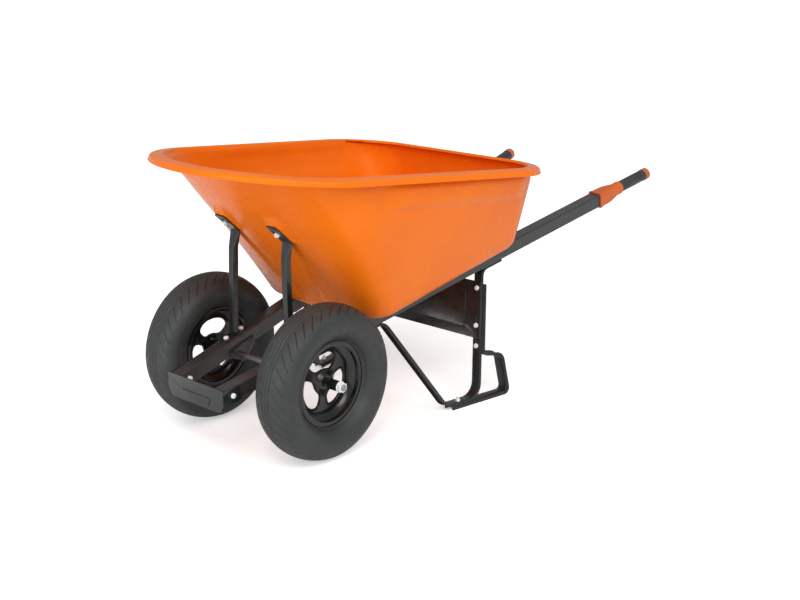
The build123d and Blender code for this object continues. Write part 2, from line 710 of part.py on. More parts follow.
def make_rim():
    """The pressed steel wheel: a drop-centre rim and a dished disc with lipped windows."""
    edge, seat = RIM_WIDTH / 2 - RIM_SHEET, RIM_SEAT_R
    barrel = [
        (RIM_FLANGE_R, edge),
        (seat, edge),
        (seat, edge - 11),
        (RIM_WELL_R, 8),
        (RIM_WELL_R, -8),
        (seat, 11 - edge),
        (seat, -edge),
        (RIM_FLANGE_R, -edge),
    ]
    inner = strip_points(barrel, RIM_SHEET)
    section = make_face(Polyline(*barrel, *reversed(inner), close=True))
    wheel = revolve(section, Axis.Y)
    disc = [(RIM_WELL_R - 1, -RIM_DISC_INSET), (32, -RIM_DISC_INSET + 3), (24, 2), (HUB_R + SEAT_GAP, 2)]
    disc_edge = strip_points(disc, RIM_SHEET)
    wheel += revolve(make_face(Polyline(*disc, *reversed(disc_edge), close=True)), Axis.Y)
    face_on = Plane(origin=(0, 0, 0), x_dir=(1, 0, 0), z_dir=(0, 1, 0))
    for i in range(SPOKES):
        turn = Rotation(0, 360 / SPOKES * i + WINDOW_START_DEG, 0)
        lip = extrude(face_on * window_face(WINDOW_LIP), WINDOW_LIP + 2)
        wheel += turn * Pos(0, -RIM_DISC_INSET - 2, 0) * lip
        wheel -= turn * Pos(0, -60, 0) * extrude(face_on * window_face(0), 120)
    stem_hole = Pos(0, 0, RIM_WELL_R) * Cylinder(VALVE_R + HOLE_GAP, 40)
    return wheel - Rotation(0, VALVE_ANGLE_DEG, 0) * stem_hole


def make_hub():
    hub = Cylinder(HUB_R, HUB_LENGTH) - Cylinder(BUSH_R + SEAT_GAP, HUB_LENGTH * 2)
    return Rotation(90, 0, 0) * hub


def make_bush(end):
    """A flanged bush in one end of the hub: end is 1 for the outboard one and -1 for the inboard one."""
    sleeve = Cylinder(BUSH_R, BUSH_LENGTH, align=(Align.CENTER, Align.CENTER, Align.MAX))
    sleeve += Cylinder(BUSH_FLANGE_R, BUSH_FLANGE, align=(Align.CENTER, Align.CENTER, Align.MIN))
    sleeve -= Cylinder(AXLE_R + RUNNING_GAP, BUSH_LENGTH * 4)
    seat = Plane(origin=(0, end * HUB_LENGTH / 2, 0), x_dir=(1, 0, 0), z_dir=(0, end, 0))
    return seat.location * sleeve


def on_axle(shape, side):
    return mirrored(Pos(0, TRACK / 2, TYRE_R) * shape, side)


# Legs and wear guards, laid out on a splayed plane and drawn along Y


def leg_plane():
    """The left leg's middle plane: u is level and v climbs the splay."""
    slope = RAIL_SPREAD + LEG_SPLAY * RAIL_RISE
    normal = Vector(slope, 1, LEG_SPLAY).normalized()
    level = Vector(1, -slope, 0).normalized()
    start = rail_y(0) + LEG_SPLAY * rail_bottom_z(0)
    plane = Plane(origin=(0, start, 0), x_dir=level, z_dir=normal)
    return plane if plane.y_dir.Z > 0 else Plane(origin=(0, start, 0), x_dir=level, z_dir=-normal)


def on_leg_plane(x, z):
    plane = leg_plane()
    v = z / plane.y_dir.Z
    return ((x - v * plane.y_dir.X) / plane.x_dir.X, v)


def foot_level():
    return (GUARD_DEPTH + SEAT_GAP + LEG_DEPTH) * leg_plane().y_dir.Z


def leg_path():
    """The leg's inner line: front pad, front limb, foot, upright and rear pad."""
    return [
        on_leg_plane(LEG_PAD_FRONT_X, rail_bottom_z(LEG_PAD_FRONT_X)),
        on_leg_plane(LEG_TOP_FRONT_X, rail_bottom_z(LEG_TOP_FRONT_X)),
        on_leg_plane(FOOT_FRONT_X, foot_level()),
        on_leg_plane(FOOT_REAR_X, foot_level()),
        on_leg_plane(LEG_TOP_REAR_X, rail_bottom_z(LEG_TOP_REAR_X)),
        on_leg_plane(LEG_PAD_REAR_X, rail_bottom_z(LEG_PAD_REAR_X)),
    ]


def strip_face(points, radii, depth):
    """A bent strip's side view: its inner line through points, its far edge depth to their left."""
    far = strip_points(points, -depth)
    far_radii = []
    for before, corner, after, radius in zip(points, points[1:], points[2:], radii):
        turn = (Vector(*corner) - Vector(*before)).cross(Vector(*after) - Vector(*corner)).Z
        far_radii.append(radius - depth if turn > 0 else radius + depth)
    near_edge = FilletPolyline(*points, radius=radii)
    far_edge = FilletPolyline(*far, radius=far_radii)
    ends = [Line(points[0], far[0]), Line(points[-1], far[-1])]
    return make_face([*near_edge.edges(), *far_edge.edges(), *ends])


def channel(points, radii, depth, sheet, width):
    """A channel along points: a web of sheet thickness with a flange along each side, drawn along Y."""
    plane = leg_plane()

    def drawn(face, thickness, shift):
        placed = Pos(0, shift, 0) * (plane.location * face)
        return extrude(placed, thickness, dir=(0, 1, 0))

    web = strip_face(points, radii, sheet)
    side = strip_face(points, radii, depth)
    solid = drawn(web, width, -width / 2)
    solid += drawn(side, sheet, -width / 2)
    return solid + drawn(side, sheet, width / 2 - sheet)


def upright_direction():
    low, high = leg_path()[3], leg_path()[4]
    return (Vector(*high) - Vector(*low)).normalized()


def behind_upright(z, reach):
    """The point at height z on a line parallel to the upright, reach behind it."""
    low = Vector(*leg_path()[3])
    along = upright_direction()
    start = low + Vector(-along.Y, along.X) * reach
    v = z / leg_plane().y_dir.Z
    return (start.X + along.X * (v - start.Y) / along.Y, v)


def guard_path():
    """The guard's inner line: under the foot, up the back, forward to the upright and up behind it."""
    back_high = on_leg_plane(GUARD_BACK_HIGH_X, GUARD_BACK_Z)
    return [
        (on_leg_plane(GUARD_FRONT_X, 0)[0], GUARD_DEPTH),
        (on_leg_plane(GUARD_BACK_LOW_X, 0)[0], GUARD_DEPTH),
        back_high,
        behind_upright(GUARD_NECK_Z, LEG_DEPTH + SEAT_GAP),
        behind_upright(GUARD_TOP_Z, LEG_DEPTH + SEAT_GAP),
    ]


def upright_face(z):
    """A plane on the front of both uprights at height z: x runs along Y, and z points forwards."""
    low = Vector(*leg_path()[3])
    along = upright_direction()
    v = z / leg_plane().y_dir.Z
    spot = Vector(low.X + along.X * (v - low.Y) / along.Y, v)
    world = leg_plane().from_local_coords(spot)
    direction = leg_plane().from_local_coords(spot + along) - world
    slope = Vector(direction.X, 0, direction.Z).normalized()
    return Plane(origin=(world.X, world.Y, world.Z), x_dir=(0, 1, 0), z_dir=(slope.Z, 0, -slope.X))


def foot_bolt_plane(v):
    """A level plane at height v up the leg's plane, on the foot bolt's axis, its z axis up."""
    u = on_leg_plane((FOOT_FRONT_X + FOOT_REAR_X) / 2 + 14, 0)[0]
    spot = leg_plane().from_local_coords(Vector(u, v))
    low = leg_plane().from_local_coords(Vector(u, 0))
    return Plane(origin=(low.X, low.Y, spot.Z))


def distance_behind(reach):
    """How far behind the uprights' front, square to it, a line reach behind it on the leg's plane lies."""
    spot = leg_plane().from_local_coords(Vector(*behind_upright(LEG_BOLT_Z[1], reach)))
    return -upright_face(LEG_BOLT_Z[1]).to_local_coords(spot).Z


def upright_bolt_planes(lift):
    """Planes on a left upright's three bolt axes, lift in front of its face."""
    planes = []
    for z in LEG_BOLT_Z:
        face = upright_face(z)
        planes.append(Plane(origin=face.origin + face.z_dir * lift, x_dir=face.x_dir, z_dir=face.z_dir))
    return planes


def cut_bolts(shape, planes):
    for plane in planes:
        shape -= plane.location * Cylinder(M8_R + HOLE_GAP, 120)
    return shape


def make_leg():
    radii = [LEG_TOP_R, FOOT_FRONT_R, FOOT_REAR_R, LEG_TOP_R]
    leg = channel(leg_path(), radii, LEG_DEPTH, LEG_SHEET, LEG_WIDTH)
    leg = cut_bolts(leg, upright_bolt_planes(0) + [foot_bolt_plane(foot_v())])
    return cut_bolts(leg, [tray_bolt_axis(x, 1) for x in TRAY_BOLT_X])


def foot_v():
    return GUARD_DEPTH + SEAT_GAP + LEG_DEPTH


def make_guard():
    radii = [GUARD_BACK_R, GUARD_BACK_R, GUARD_NECK_R]
    guard = channel(guard_path(), radii, GUARD_DEPTH, GUARD_SHEET, GUARD_WIDTH)
    return cut_bolts(guard, upright_bolt_planes(0) + [foot_bolt_plane(0)])


def upright_y(z):
    """The middle of the left upright at height z."""
    return upright_face(z).origin.Y


def make_cross_plate():
    """The pressed plate on the fronts of the uprights, with turned edges and a raised middle."""
    face = upright_face(CROSS_TOP_Z)
    plane = Plane(origin=(face.origin.X, 0, face.origin.Z), x_dir=(0, 1, 0), z_dir=face.z_dir)
    height = (CROSS_TOP_Z - CROSS_BOTTOM_Z) / abs(plane.y_dir.Z)
    up = 1 if plane.y_dir.Z > 0 else -1
    top, bottom = upright_y(CROSS_TOP_Z), upright_y(CROSS_BOTTOM_Z)
    half = LEG_WIDTH / 2

    def band(inset, low, high):
        """The plate's outline between two depths below its top, ending inset from the legs' middles."""
        spread = (bottom - top) / height
        corners = [(top + spread * low - inset, low), (top + spread * high - inset, high)]
        ring = corners + [(-y, d) for y, d in reversed(corners)]
        return make_face(Polyline(*[(y, -up * d) for y, d in ring], close=True))

    inner = half + CROSS_END_GAP
    plate = extrude(Plane.XY.offset(SEAT_GAP) * band(-half, 0, height), CROSS_T)
    for low, high in ((0, CROSS_T), (height - CROSS_T, height)):
        flange = Plane.XY.offset(SEAT_GAP + CROSS_T - CROSS_FLANGE) * band(inner, low, high)
        plate += extrude(flange, CROSS_FLANGE)
    margin = CROSS_PAD_MARGIN
    pad = fillet(band(inner + margin, margin, height - margin).vertices(), 12)
    plate += extrude(Plane.XY.offset(SEAT_GAP) * pad, CROSS_T + CROSS_PAD_RAISE)
    plate -= extrude(Plane.XY.offset(SEAT_GAP - 1) * offset(pad, -CROSS_T), CROSS_PAD_RAISE + 1)
    plate = plane.location * plate
    for side in SIDES.values():
        for spot in upright_bolt_planes(0):
            hole = spot.location * Cylinder(M8_R + HOLE_GAP, 40)
            plate -= mirrored(hole, side)
    return plate


# Fastener groups


def both(shape):
    return [shape, mirror(shape, about=Plane.XZ)]


def leg_bolts():
    """Hex bolts through the cross plate, the upright and the guard, and their nuts."""
    back = distance_behind(LEG_DEPTH + SEAT_GAP + GUARD_SHEET) + SEAT_GAP
    bolts, nuts = [], []
    for z, front, rear in zip(LEG_BOLT_Z, upright_bolt_planes(0), upright_bolt_planes(-back)):
        lift = CROSS_T + 2 * SEAT_GAP if z > CROSS_BOTTOM_Z else SEAT_GAP
        top = Plane(origin=front.origin + front.z_dir * lift, x_dir=front.x_dir, z_dir=front.z_dir)
        bolts += both(bolt(top, hex_head(), lift + back + NUT_T + 2))
        nuts += both(nut(rear))
    return bolts, nuts


def foot_bolts():
    """Flush bolts up through the guard and the leg's foot, and their nuts."""
    under = foot_bolt_plane(GUARD_DEPTH - GUARD_SHEET - SEAT_GAP)
    head_down = Plane(origin=under.origin, z_dir=(0, 0, -1))
    top = foot_bolt_plane(foot_v() + SEAT_GAP)
    length = top.origin.Z - under.origin.Z + NUT_T + 6
    head = Cylinder(7, 3.5, align=(Align.CENTER, Align.CENTER, Align.MIN))
    seat = Plane(origin=top.origin + Vector(0, 0, NUT_T), z_dir=(0, 0, 1))
    return both(bolt(head_down, head, length)), both(nut(seat))


def tray_bolts():
    """Round-headed bolts down through the tray's floor, the rails and the legs' pads."""
    bolts, washers, nuts = [], [], []
    floor = TRAY_WALL / math.hypot(1, RAIL_RISE) + SEAT_GAP
    grip = RAIL_SIDE + LEG_SHEET + SEAT_GAP
    for x in TRAY_BOLT_X:
        base = tray_bolt_axis(x, 1)
        seat = Plane(origin=base.origin + base.z_dir * floor, z_dir=base.z_dir)
        head = Plane(origin=seat.origin + base.z_dir * (TRAY_WASHER_T + SEAT_GAP), z_dir=base.z_dir)
        low = Plane(origin=base.origin - base.z_dir * grip, z_dir=base.z_dir)
        washers += both(washer(seat, TRAY_WASHER_R, TRAY_WASHER_T, M8_R + HOLE_GAP))
        bolts += both(bolt(head, carriage_head(), floor + TRAY_WASHER_T + grip + NUT_T + 4))
        nuts += both(nut(low))
    return bolts, washers, nuts


def brace_bolts():
    """Hex bolts down through the braces' feet, the rails and the axle brackets."""
    bolts, nuts = [], []
    for x in brace_bolts_x():
        top = upright_axis(x, 1, RAIL_SIDE / 2 + BRACE_FOOT_T + SEAT_GAP)
        low = upright_axis(x, 1, -RAIL_SIDE / 2 - BRACKET_T - 2 * SEAT_GAP)
        bolts += both(bolt(top, hex_head(), RAIL_SIDE + BRACE_FOOT_T + BRACKET_T + NUT_T + 3))
        nuts += both(nut(low))
    return bolts, nuts


def tray_front_bolts():
    """Round-headed bolts from inside the tray out through the braces' tabs, and their nuts."""
    tab = brace_tab_plane(1)
    spot = tab.origin + tab.x_dir * BRACE_TAB_BOLT
    out = Plane(origin=spot + tab.z_dir * (BRACE_TAB_T + SEAT_GAP), x_dir=tab.x_dir, z_dir=-tab.z_dir)
    into = Plane(origin=spot - tab.z_dir * FRONT_WALL_GRIP, x_dir=tab.x_dir, z_dir=-tab.z_dir)
    length = FRONT_WALL_GRIP + BRACE_TAB_T + NUT_T + 3
    return both(bolt(into, carriage_head(), length)), both(nut(out))


def bumper_bolts():
    """Round-headed bolts in through the bumper's flanges and the rails, and their nuts."""
    x = bumper_bolt_x()
    head = across_axis(x, 1, bumper_flange_reach() + BUMPER_T + SEAT_GAP)
    low = across_axis(x, 1, -RAIL_SIDE / 2 - SEAT_GAP)
    length = bumper_flange_reach() + BUMPER_T + RAIL_SIDE / 2 + NUT_T + 3
    return both(bolt(head, carriage_head(), length)), both(nut(low))


def assemble():
    """Every node of the wheelbarrow by name, each a shape or a list of separate solids."""
    parts = {"tray": make_tray(), "bumper": make_bumper(), "cross_plate": make_cross_plate(), "axle": make_axle()}
    left_only = {
        "brace": make_brace(),
        "axle_bracket": make_bracket(),
        "leg": make_leg(),
        "wear_guard": make_guard(),
    }
    wheel = {
        "tyre": make_tyre(),
        "inner_tube": make_inner_tube(),
        "valve_cap": make_valve_cap(),
        "rim": make_rim(),
        "hub": make_hub(),
        "hub_bushes": [make_bush(1), make_bush(-1)],
    }
    for name, side in SIDES.items():
        parts[f"{name}_rail"] = make_rail(side)
        parts[f"{name}_grip_collar"] = make_collar(side)
        parts[f"{name}_grip"] = make_grip(side)
        parts[f"{name}_grip_cap"] = make_cap(side)
        for node, shape in left_only.items():
            parts[f"{name}_{node}"] = mirrored(shape, side)
        for node, shape in wheel.items():
            pieces = shape if isinstance(shape, list) else [shape]
            parts[f"{name}_{node}"] = [on_axle(piece, side) for piece in pieces]
    parts["axle_spacers"] = [make_spacer(side) for side in SIDES.values()]
    parts["axle_washers"] = [make_axle_washer(side) for side in SIDES.values()]
    parts["axle_nuts"] = [make_axle_nut(side) for side in SIDES.values()]
    parts["leg_bolts"], parts["leg_nuts"] = leg_bolts()
    parts["foot_bolts"], parts["foot_nuts"] = foot_bolts()
    parts["tray_bolts"], parts["tray_washers"], parts["tray_nuts"] = tray_bolts()
    parts["brace_bolts"], parts["brace_nuts"] = brace_bolts()
    parts["tray_front_bolts"], parts["tray_front_nuts"] = tray_front_bolts()
    parts["bumper_bolts"], parts["bumper_nuts"] = bumper_bolts()
    return parts


def main():
    os.makedirs("parts", exist_ok=True)
    parts = assemble()
    shapes = {}
    for name, made in parts.items():
        pieces = made if isinstance(made, list) else [made]
        shapes[name] = Compound(children=[solid for piece in pieces for solid in piece.solids()])
    boxes = [shape.bounding_box() for shape in shapes.values()]
    middle_x = (min(box.min.X for box in boxes) + max(box.max.X for box in boxes)) / 2
    floor_z = min(box.min.Z for box in boxes)
    for name, shape in shapes.items():
        solids = shape.solids()
        placed = solids[0] if len(solids) == 1 else Compound(children=list(solids))
        export_step(placed.moved(Location((-middle_x, 0, -floor_z))), f"parts/{name}.step")
    print("origin moved by", round(-middle_x, 3), "in x and", round(-floor_z, 3), "in z")


if __name__ == "__main__":
    main()
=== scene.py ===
"""A dual-wheel wheelbarrow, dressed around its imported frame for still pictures."""

import logging
import math
from dataclasses import dataclass, field
from enum import Enum
from functools import lru_cache, partial
from typing import Any, Callable, Sequence

import bmesh
import bpy
import numpy as np
from mathutils import Matrix, Vector


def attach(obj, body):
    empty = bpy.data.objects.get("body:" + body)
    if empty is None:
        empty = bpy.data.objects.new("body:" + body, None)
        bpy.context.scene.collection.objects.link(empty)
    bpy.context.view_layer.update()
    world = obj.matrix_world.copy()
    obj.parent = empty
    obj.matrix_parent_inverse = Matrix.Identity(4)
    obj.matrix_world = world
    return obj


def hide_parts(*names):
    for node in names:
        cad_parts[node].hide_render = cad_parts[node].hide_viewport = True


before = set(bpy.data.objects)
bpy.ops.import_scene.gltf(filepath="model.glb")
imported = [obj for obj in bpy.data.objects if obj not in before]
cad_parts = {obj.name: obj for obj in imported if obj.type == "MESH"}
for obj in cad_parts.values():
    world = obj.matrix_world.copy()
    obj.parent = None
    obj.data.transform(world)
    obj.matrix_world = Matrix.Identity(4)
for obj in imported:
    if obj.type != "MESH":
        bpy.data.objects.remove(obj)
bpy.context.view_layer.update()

LOG = logging.getLogger("wheelbarrow")
MM = 0.001
TURN = 2 * math.pi
WELD = 2e-6
Colour = tuple[float, float, float]
Pair = tuple[float, float]
Socket = bpy.types.NodeSocket


class Side(Enum):
    """Which side of the barrow a piece is on, and the sign of its Y."""

    LEFT = 1
    RIGHT = -1

    @property
    def label(self) -> str:
        """The side's name as node names write it."""
        return self.name.lower()

    def node(self, part: str) -> str:
        """The name of this side's copy of a part."""
        return f"{self.label}_{part}"


class Body(Enum):
    """The bodies that pieces ride on."""

    CHASSIS = "chassis"
    LEFT_WHEEL = "left_wheel"
    RIGHT_WHEEL = "right_wheel"

    @staticmethod
    def wheel(side: Side) -> "Body":
        """The wheel body on one side."""
        return Body.LEFT_WHEEL if side is Side.LEFT else Body.RIGHT_WHEEL


# Small tools


def smoothstep(low: float, high: float, value: float) -> float:
    """A smooth climb from 0 at low to 1 at high."""
    share = min(1.0, max(0.0, (value - low) / (high - low)))
    return share * share * (3 - 2 * share)


def bump_at(centre: float, reach: float, value: float) -> float:
    """A smooth hill, 1 at centre and 0 beyond reach from it."""
    return 1 - smoothstep(0, reach, abs(value - centre))


def mix(a: Vector, b: Vector, share: float) -> Vector:
    """The point that share of the way from a to b."""
    return a * (1 - share) + b * share


def new_object(name: str, data: Any) -> bpy.types.Object:
    """A new object of some data, linked to the scene.

    Args:
        name: its name.
        data: its mesh, light or camera.

    Returns:
        The object.
    """
    obj = bpy.data.objects.new(name, data)
    bpy.context.scene.collection.objects.link(obj)
    return obj


def evaluated(obj: bpy.types.Object) -> bpy.types.Mesh:
    """The object's mesh with its modifiers applied. The object is removed.

    Args:
        obj: an object with modifiers.

    Returns:
        The changed mesh.
    """
    depsgraph = bpy.context.evaluated_depsgraph_get()
    mesh = bpy.data.meshes.new_from_object(obj.evaluated_get(depsgraph))
    bpy.data.objects.remove(obj)
    return mesh


def mesh_object(name: str, points: Sequence[Vector], faces: Sequence[Sequence[int]]) -> bpy.types.Object:
    """A smooth mesh object at the origin, its faces turned outwards.

    Args:
        name: the object's name.
        points: its vertices, in metres in the frame.
        faces: the vertex numbers of each face.

    Returns:
        The new object, linked to the scene.
    """
    mesh = bpy.data.meshes.new(name)
    mesh.from_pydata([tuple(p) for p in points], [], [tuple(f) for f in faces])
    tidy_mesh(mesh)
    mesh.shade_smooth()
    return new_object(name, mesh)


def tidy_mesh(mesh: bpy.types.Mesh, gap: float = 1e-6) -> None:
    """Merges a mesh's doubles and turns its faces outwards.

    Args:
        mesh: the mesh to change.
        gap: vertices nearer than this become one.
    """
    work = bmesh.new()
    work.from_mesh(mesh)
    bmesh.ops.remove_doubles(work, verts=work.verts, dist=gap)
    bmesh.ops.recalc_face_normals(work, faces=work.faces)
    work.to_mesh(mesh)
    work.free()


def lattice(rows: int, columns: int, wrap_rows: bool) -> list[list[int]]:
    """The faces that join rings of points.

    Args:
        rows: how many rings there are.
        columns: how many points each ring has.
        wrap_rows: whether the last ring joins the first.

    Returns:
        One list of four vertex numbers for each face.
    """
    faces = []
    for i in range(rows if wrap_rows else rows - 1):
        for j in range(columns):
            near, far = i * columns, (i + 1) % rows * columns
            step = (j + 1) % columns
            faces.append([near + j, near + step, far + step, far + j])
    return faces


def shell_from_rows(name: str, rows: Sequence[Sequence[Vector]], wrap_rows: bool = False) -> bpy.types.Object:
    """A closed skin over rings of points, capped at both ends unless the rows wrap.

    Args:
        name: the object's name.
        rows: rings of points, all of the same count.
        wrap_rows: whether the last ring joins the first, so that nothing is capped.

    Returns:
        The new object.
    """
    columns = len(rows[0])
    points = [point for row in rows for point in row]
    faces = lattice(len(rows), columns, wrap_rows)
    if not wrap_rows:
        for start, row in ((0, rows[0]), ((len(rows) - 1) * columns, rows[-1])):
            points.append(sum(row, Vector()) / columns)
            hub = len(points) - 1
            faces += [[hub, start + j, start + (j + 1) % columns] for j in range(columns)]
    return mesh_object(name, points, faces)


def round_ring(height: float, segments: int, reach: Callable[[float], float]) -> list[Vector]:
    """One ring of points about Z, in metres.

    Args:
        height: how high it is, in millimetres.
        segments: how many points go round.
        reach: gives the radius in millimetres at an angle.

    Returns:
        The ring's points.
    """
    turns = [TURN * j / segments for j in range(segments)]
    return [Vector((reach(a) * math.cos(a), reach(a) * math.sin(a), height)) * MM for a in turns]


def dressed(piece: bpy.types.Object, body: Body, slot: str, *nodes: str) -> bpy.types.Object:
    """Puts a finished piece on its body and hides the nodes it stands for.

    Args:
        piece: the finished piece.
        body: the body that it rides on.
        slot: the name of its material slot; not used.
        nodes: the CAD nodes that it replaces.

    Returns:
        The same piece.
    """
    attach(piece, body.value)
    if nodes:
        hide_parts(*nodes)
    LOG.info("%s on %s: %d faces", piece.name, body.value, len(piece.data.polygons))
    return piece


# Finishes


class NodeWriter:
    """Adds nodes to a tree, with their inputs set or linked."""

    def __init__(self, tree: bpy.types.NodeTree) -> None:
        """Takes the tree to write in."""
        self.tree = tree

    def add(self, kind: str, inputs: dict[Any, Any] | None = None, **settings: Any) -> bpy.types.Node:
        """Adds a node.

        Args:
            kind: the node's type name.
            inputs: a value or an output socket for each named or numbered input.
            settings: the node's own properties.

        Returns:
            The new node.
        """
        node = self.tree.nodes.new(kind)
        for key, value in settings.items():
            setattr(node, key, value)
        for key, value in (inputs or {}).items():
            if isinstance(value, Socket):
                self.tree.links.new(value, node.inputs[key])
            else:
                node.inputs[key].default_value = value
        return node


class Recipe(NodeWriter):
    """One material's node tree, added to a node at a time."""

    def __init__(self, name: str) -> None:
        """Starts an empty material of this name.

        Args:
            name: the material's name.
        """
        self.material = bpy.data.materials.new(name)
        self.material.use_nodes = True
        super().__init__(self.material.node_tree)
        self.tree.nodes.clear()
        self.place = self.add("ShaderNodeTexCoord").outputs["Object"]

    def noise(self, scale: float, detail: float = 2.0, stretch: Colour | None = None) -> Socket:
        """A noise over the object's own space.

        Args:
            scale: features per metre, roughly.
            detail: how many finer layers it has.
            stretch: an optional scale for each axis, for streaks.

        Returns:
            The noise's value, around a half.
        """
        place = self.place
        if stretch:
            place = self.add("ShaderNodeMapping", {"Vector": place, "Scale": stretch}).outputs["Vector"]
        inputs = {"Vector": place, "Scale": scale, "Detail": detail}
        return self.add("ShaderNodeTexNoise", inputs).outputs["Fac"]

    def ranged(self, value: Socket, given: Pair, wanted: tuple[Any, Any]) -> Socket:
        """A value moved from one range to another and held inside it.

        Args:
            value: the socket to read.
            given: the low and high of the range it has.
            wanted: the low and high that these become.

        Returns:
            The new value.
        """
        names = ("From Min", "From Max", "To Min", "To Max")
        inputs = {"Value": value, **dict(zip(names, (*given, *wanted)))}
        return self.add("ShaderNodeMapRange", inputs).outputs["Result"]

    def blend(self, share: Socket, low: Any, high: Any) -> Socket:
        """A colour between two, by share.

        Args:
            share: 0 for low and 1 for high.
            low: a colour or a socket.
            high: a colour or a socket.

        Returns:
            The mixed colour.
        """
        ends = [value if isinstance(value, Socket) else (*value, 1.0) for value in (low, high)]
        node = self.add("ShaderNodeMix", {0: share, 6: ends[0], 7: ends[1]}, data_type="RGBA")
        return node.outputs[2]

    def bumped(self, height: Socket, depth: float, strength: float, under: Any = None) -> Socket:
        """A surface normal tilted by a height.

        Args:
            height: the height, from 0 to 1.
            depth: what a height of 1 stands for, in metres.
            strength: how much of the tilt is used.
            under: an optional normal that this one is laid over.

        Returns:
            The new normal.
        """
        inputs = {"Height": height, "Distance": depth, "Strength": strength}
        if under is not None:
            inputs["Normal"] = under
        return self.add("ShaderNodeBump", inputs).outputs["Normal"]

    def finish(self, **inputs: Any) -> bpy.types.Material:
        """Closes the material with its surface shader.

        Args:
            inputs: the shader's inputs, with _ for a space.

        Returns:
            The finished material.
        """
        named = {key.replace("_", " "): value for key, value in inputs.items()}
        shader = self.add("ShaderNodeBsdfPrincipled", named)
        self.add("ShaderNodeOutputMaterial", {"Surface": shader.outputs["BSDF"]})
        return self.material


@dataclass(frozen=True)
class Moulded:
    """Moulded plastic: an even colour with clouding, a fine grain and faint handling scuffs."""

    name: str
    colour: Colour
    shade: Colour
    roughness: float = 0.34
    grain_scale: float = 900.0
    grain_depth: float = 0.00025
    ripple_depth: float = 0.0
    scuffs: float = 0.4
    specular: float = 0.4
    tint: Colour = (1.0, 1.0, 1.0)

    def material(self) -> bpy.types.Material:
        """Builds the material.

        Returns:
            The material.
        """
        recipe = Recipe(self.name)
        cloud = recipe.ranged(recipe.noise(5, 4), (0.35, 0.7), (0, 1))
        streaks = recipe.noise(9, 3, (1.0, 1.0, 9.0))
        scuff = recipe.ranged(streaks, (0.58, 0.76), (0, self.scuffs))
        colour = recipe.blend(cloud, self.colour, self.shade)
        pale = tuple(min(1.0, c * 1.25 + 0.02) for c in self.colour)
        colour = recipe.blend(scuff, colour, pale)
        spread = (self.roughness - 0.05, self.roughness + 0.07)
        rough = recipe.ranged(recipe.noise(40, 4), (0.3, 0.7), spread)
        worn = recipe.add("ShaderNodeMath", {0: scuff, 1: 0.2, 2: rough}, operation="MULTIPLY_ADD")
        normal = recipe.bumped(recipe.noise(self.grain_scale, 1), self.grain_depth, 0.35)
        if self.ripple_depth:
            normal = recipe.bumped(recipe.noise(7, 1), self.ripple_depth, 0.6, normal)
        shine = {"Specular_IOR_Level": self.specular, "Specular_Tint": (*self.tint, 1.0)}
        return recipe.finish(Base_Color=colour, Roughness=worn.outputs[0], Normal=normal, **shine)


@dataclass(frozen=True)
class Enamel:
    """Paint on steel: a gloss coat with a fine orange peel, dust in random patches and dull patches."""

    name: str
    colour: Colour
    dust: Colour = (0.09, 0.088, 0.084)
    roughness: float = 0.3
    peel_scale: float = 420.0
    peel_depth: float = 0.00022
    dusting: float = 0.35
    coat: float = 0.2

    def material(self) -> bpy.types.Material:
        """Builds the material.

        Returns:
            The material.
        """
        recipe = Recipe(self.name)
        dust = recipe.ranged(recipe.noise(22, 8), (0.5, 0.8), (0, self.dusting))
        fleck = recipe.ranged(recipe.noise(650, 2), (0.66, 0.72), (0, 0.5))
        colour = recipe.blend(dust, self.colour, self.dust)
        colour = recipe.blend(fleck, colour, tuple(c * 1.8 + 0.01 for c in self.colour))
        spread = (self.roughness - 0.06, self.roughness + 0.14)
        rough = recipe.ranged(recipe.noise(30, 5), (0.3, 0.75), spread)
        normal = recipe.bumped(recipe.noise(self.peel_scale, 2), self.peel_depth, 0.4)
        gloss = {"Coat_Weight": self.coat, "Coat_Roughness": 0.15}
        return recipe.finish(Base_Color=colour, Roughness=rough, Normal=normal, **gloss)


@dataclass(frozen=True)
class Rubber:
    """Black rubber: a dull bloom, fine mould texture and a little dust."""

    name: str
    colour: Colour
    bloom: Colour
    roughness: float = 0.6
    texture_scale: float = 1300.0
    texture_depth: float = 0.0002

    def material(self) -> bpy.types.Material:
        """Builds the material.

        Returns:
            The material.
        """
        recipe = Recipe(self.name)
        bloom = recipe.ranged(recipe.noise(14, 7), (0.38, 0.72), (0, 1))
        specks = recipe.ranged(recipe.noise(480, 3), (0.62, 0.75), (0, 0.5))
        colour = recipe.blend(bloom, self.colour, self.bloom)
        colour = recipe.blend(specks, colour, tuple(c * 1.7 for c in self.bloom))
        spread = (self.roughness - 0.08, self.roughness + 0.1)
        rough = recipe.ranged(recipe.noise(60, 4), (0.3, 0.7), spread)
        normal = recipe.bumped(recipe.noise(self.texture_scale, 2), self.texture_depth, 0.5)
        return recipe.finish(Base_Color=colour, Roughness=rough, Normal=normal, Specular_IOR_Level=0.4)


@dataclass(frozen=True)
class Plated:
    """Zinc plate or bare steel: a mottled metal with fine brush marks and dull spots."""

    name: str
    colour: Colour
    dull: Colour
    roughness: float = 0.3
    mottle_scale: float = 260.0

    def material(self) -> bpy.types.Material:
        """Builds the material.

        Returns:
            The material.
        """
        recipe = Recipe(self.name)
        mottle = recipe.ranged(recipe.noise(self.mottle_scale, 4), (0.35, 0.68), (0, 1))
        colour = recipe.blend(mottle, self.colour, self.dull)
        spread = (self.roughness - 0.08, self.roughness + 0.16)
        rough = recipe.ranged(recipe.noise(self.mottle_scale * 1.7, 3), (0.3, 0.7), spread)
        normal = recipe.bumped(recipe.noise(2200, 2, (1.0, 5.0, 1.0)), 0.0001, 0.35)
        return recipe.finish(Base_Color=colour, Roughness=rough, Normal=normal, Metallic=1.0)


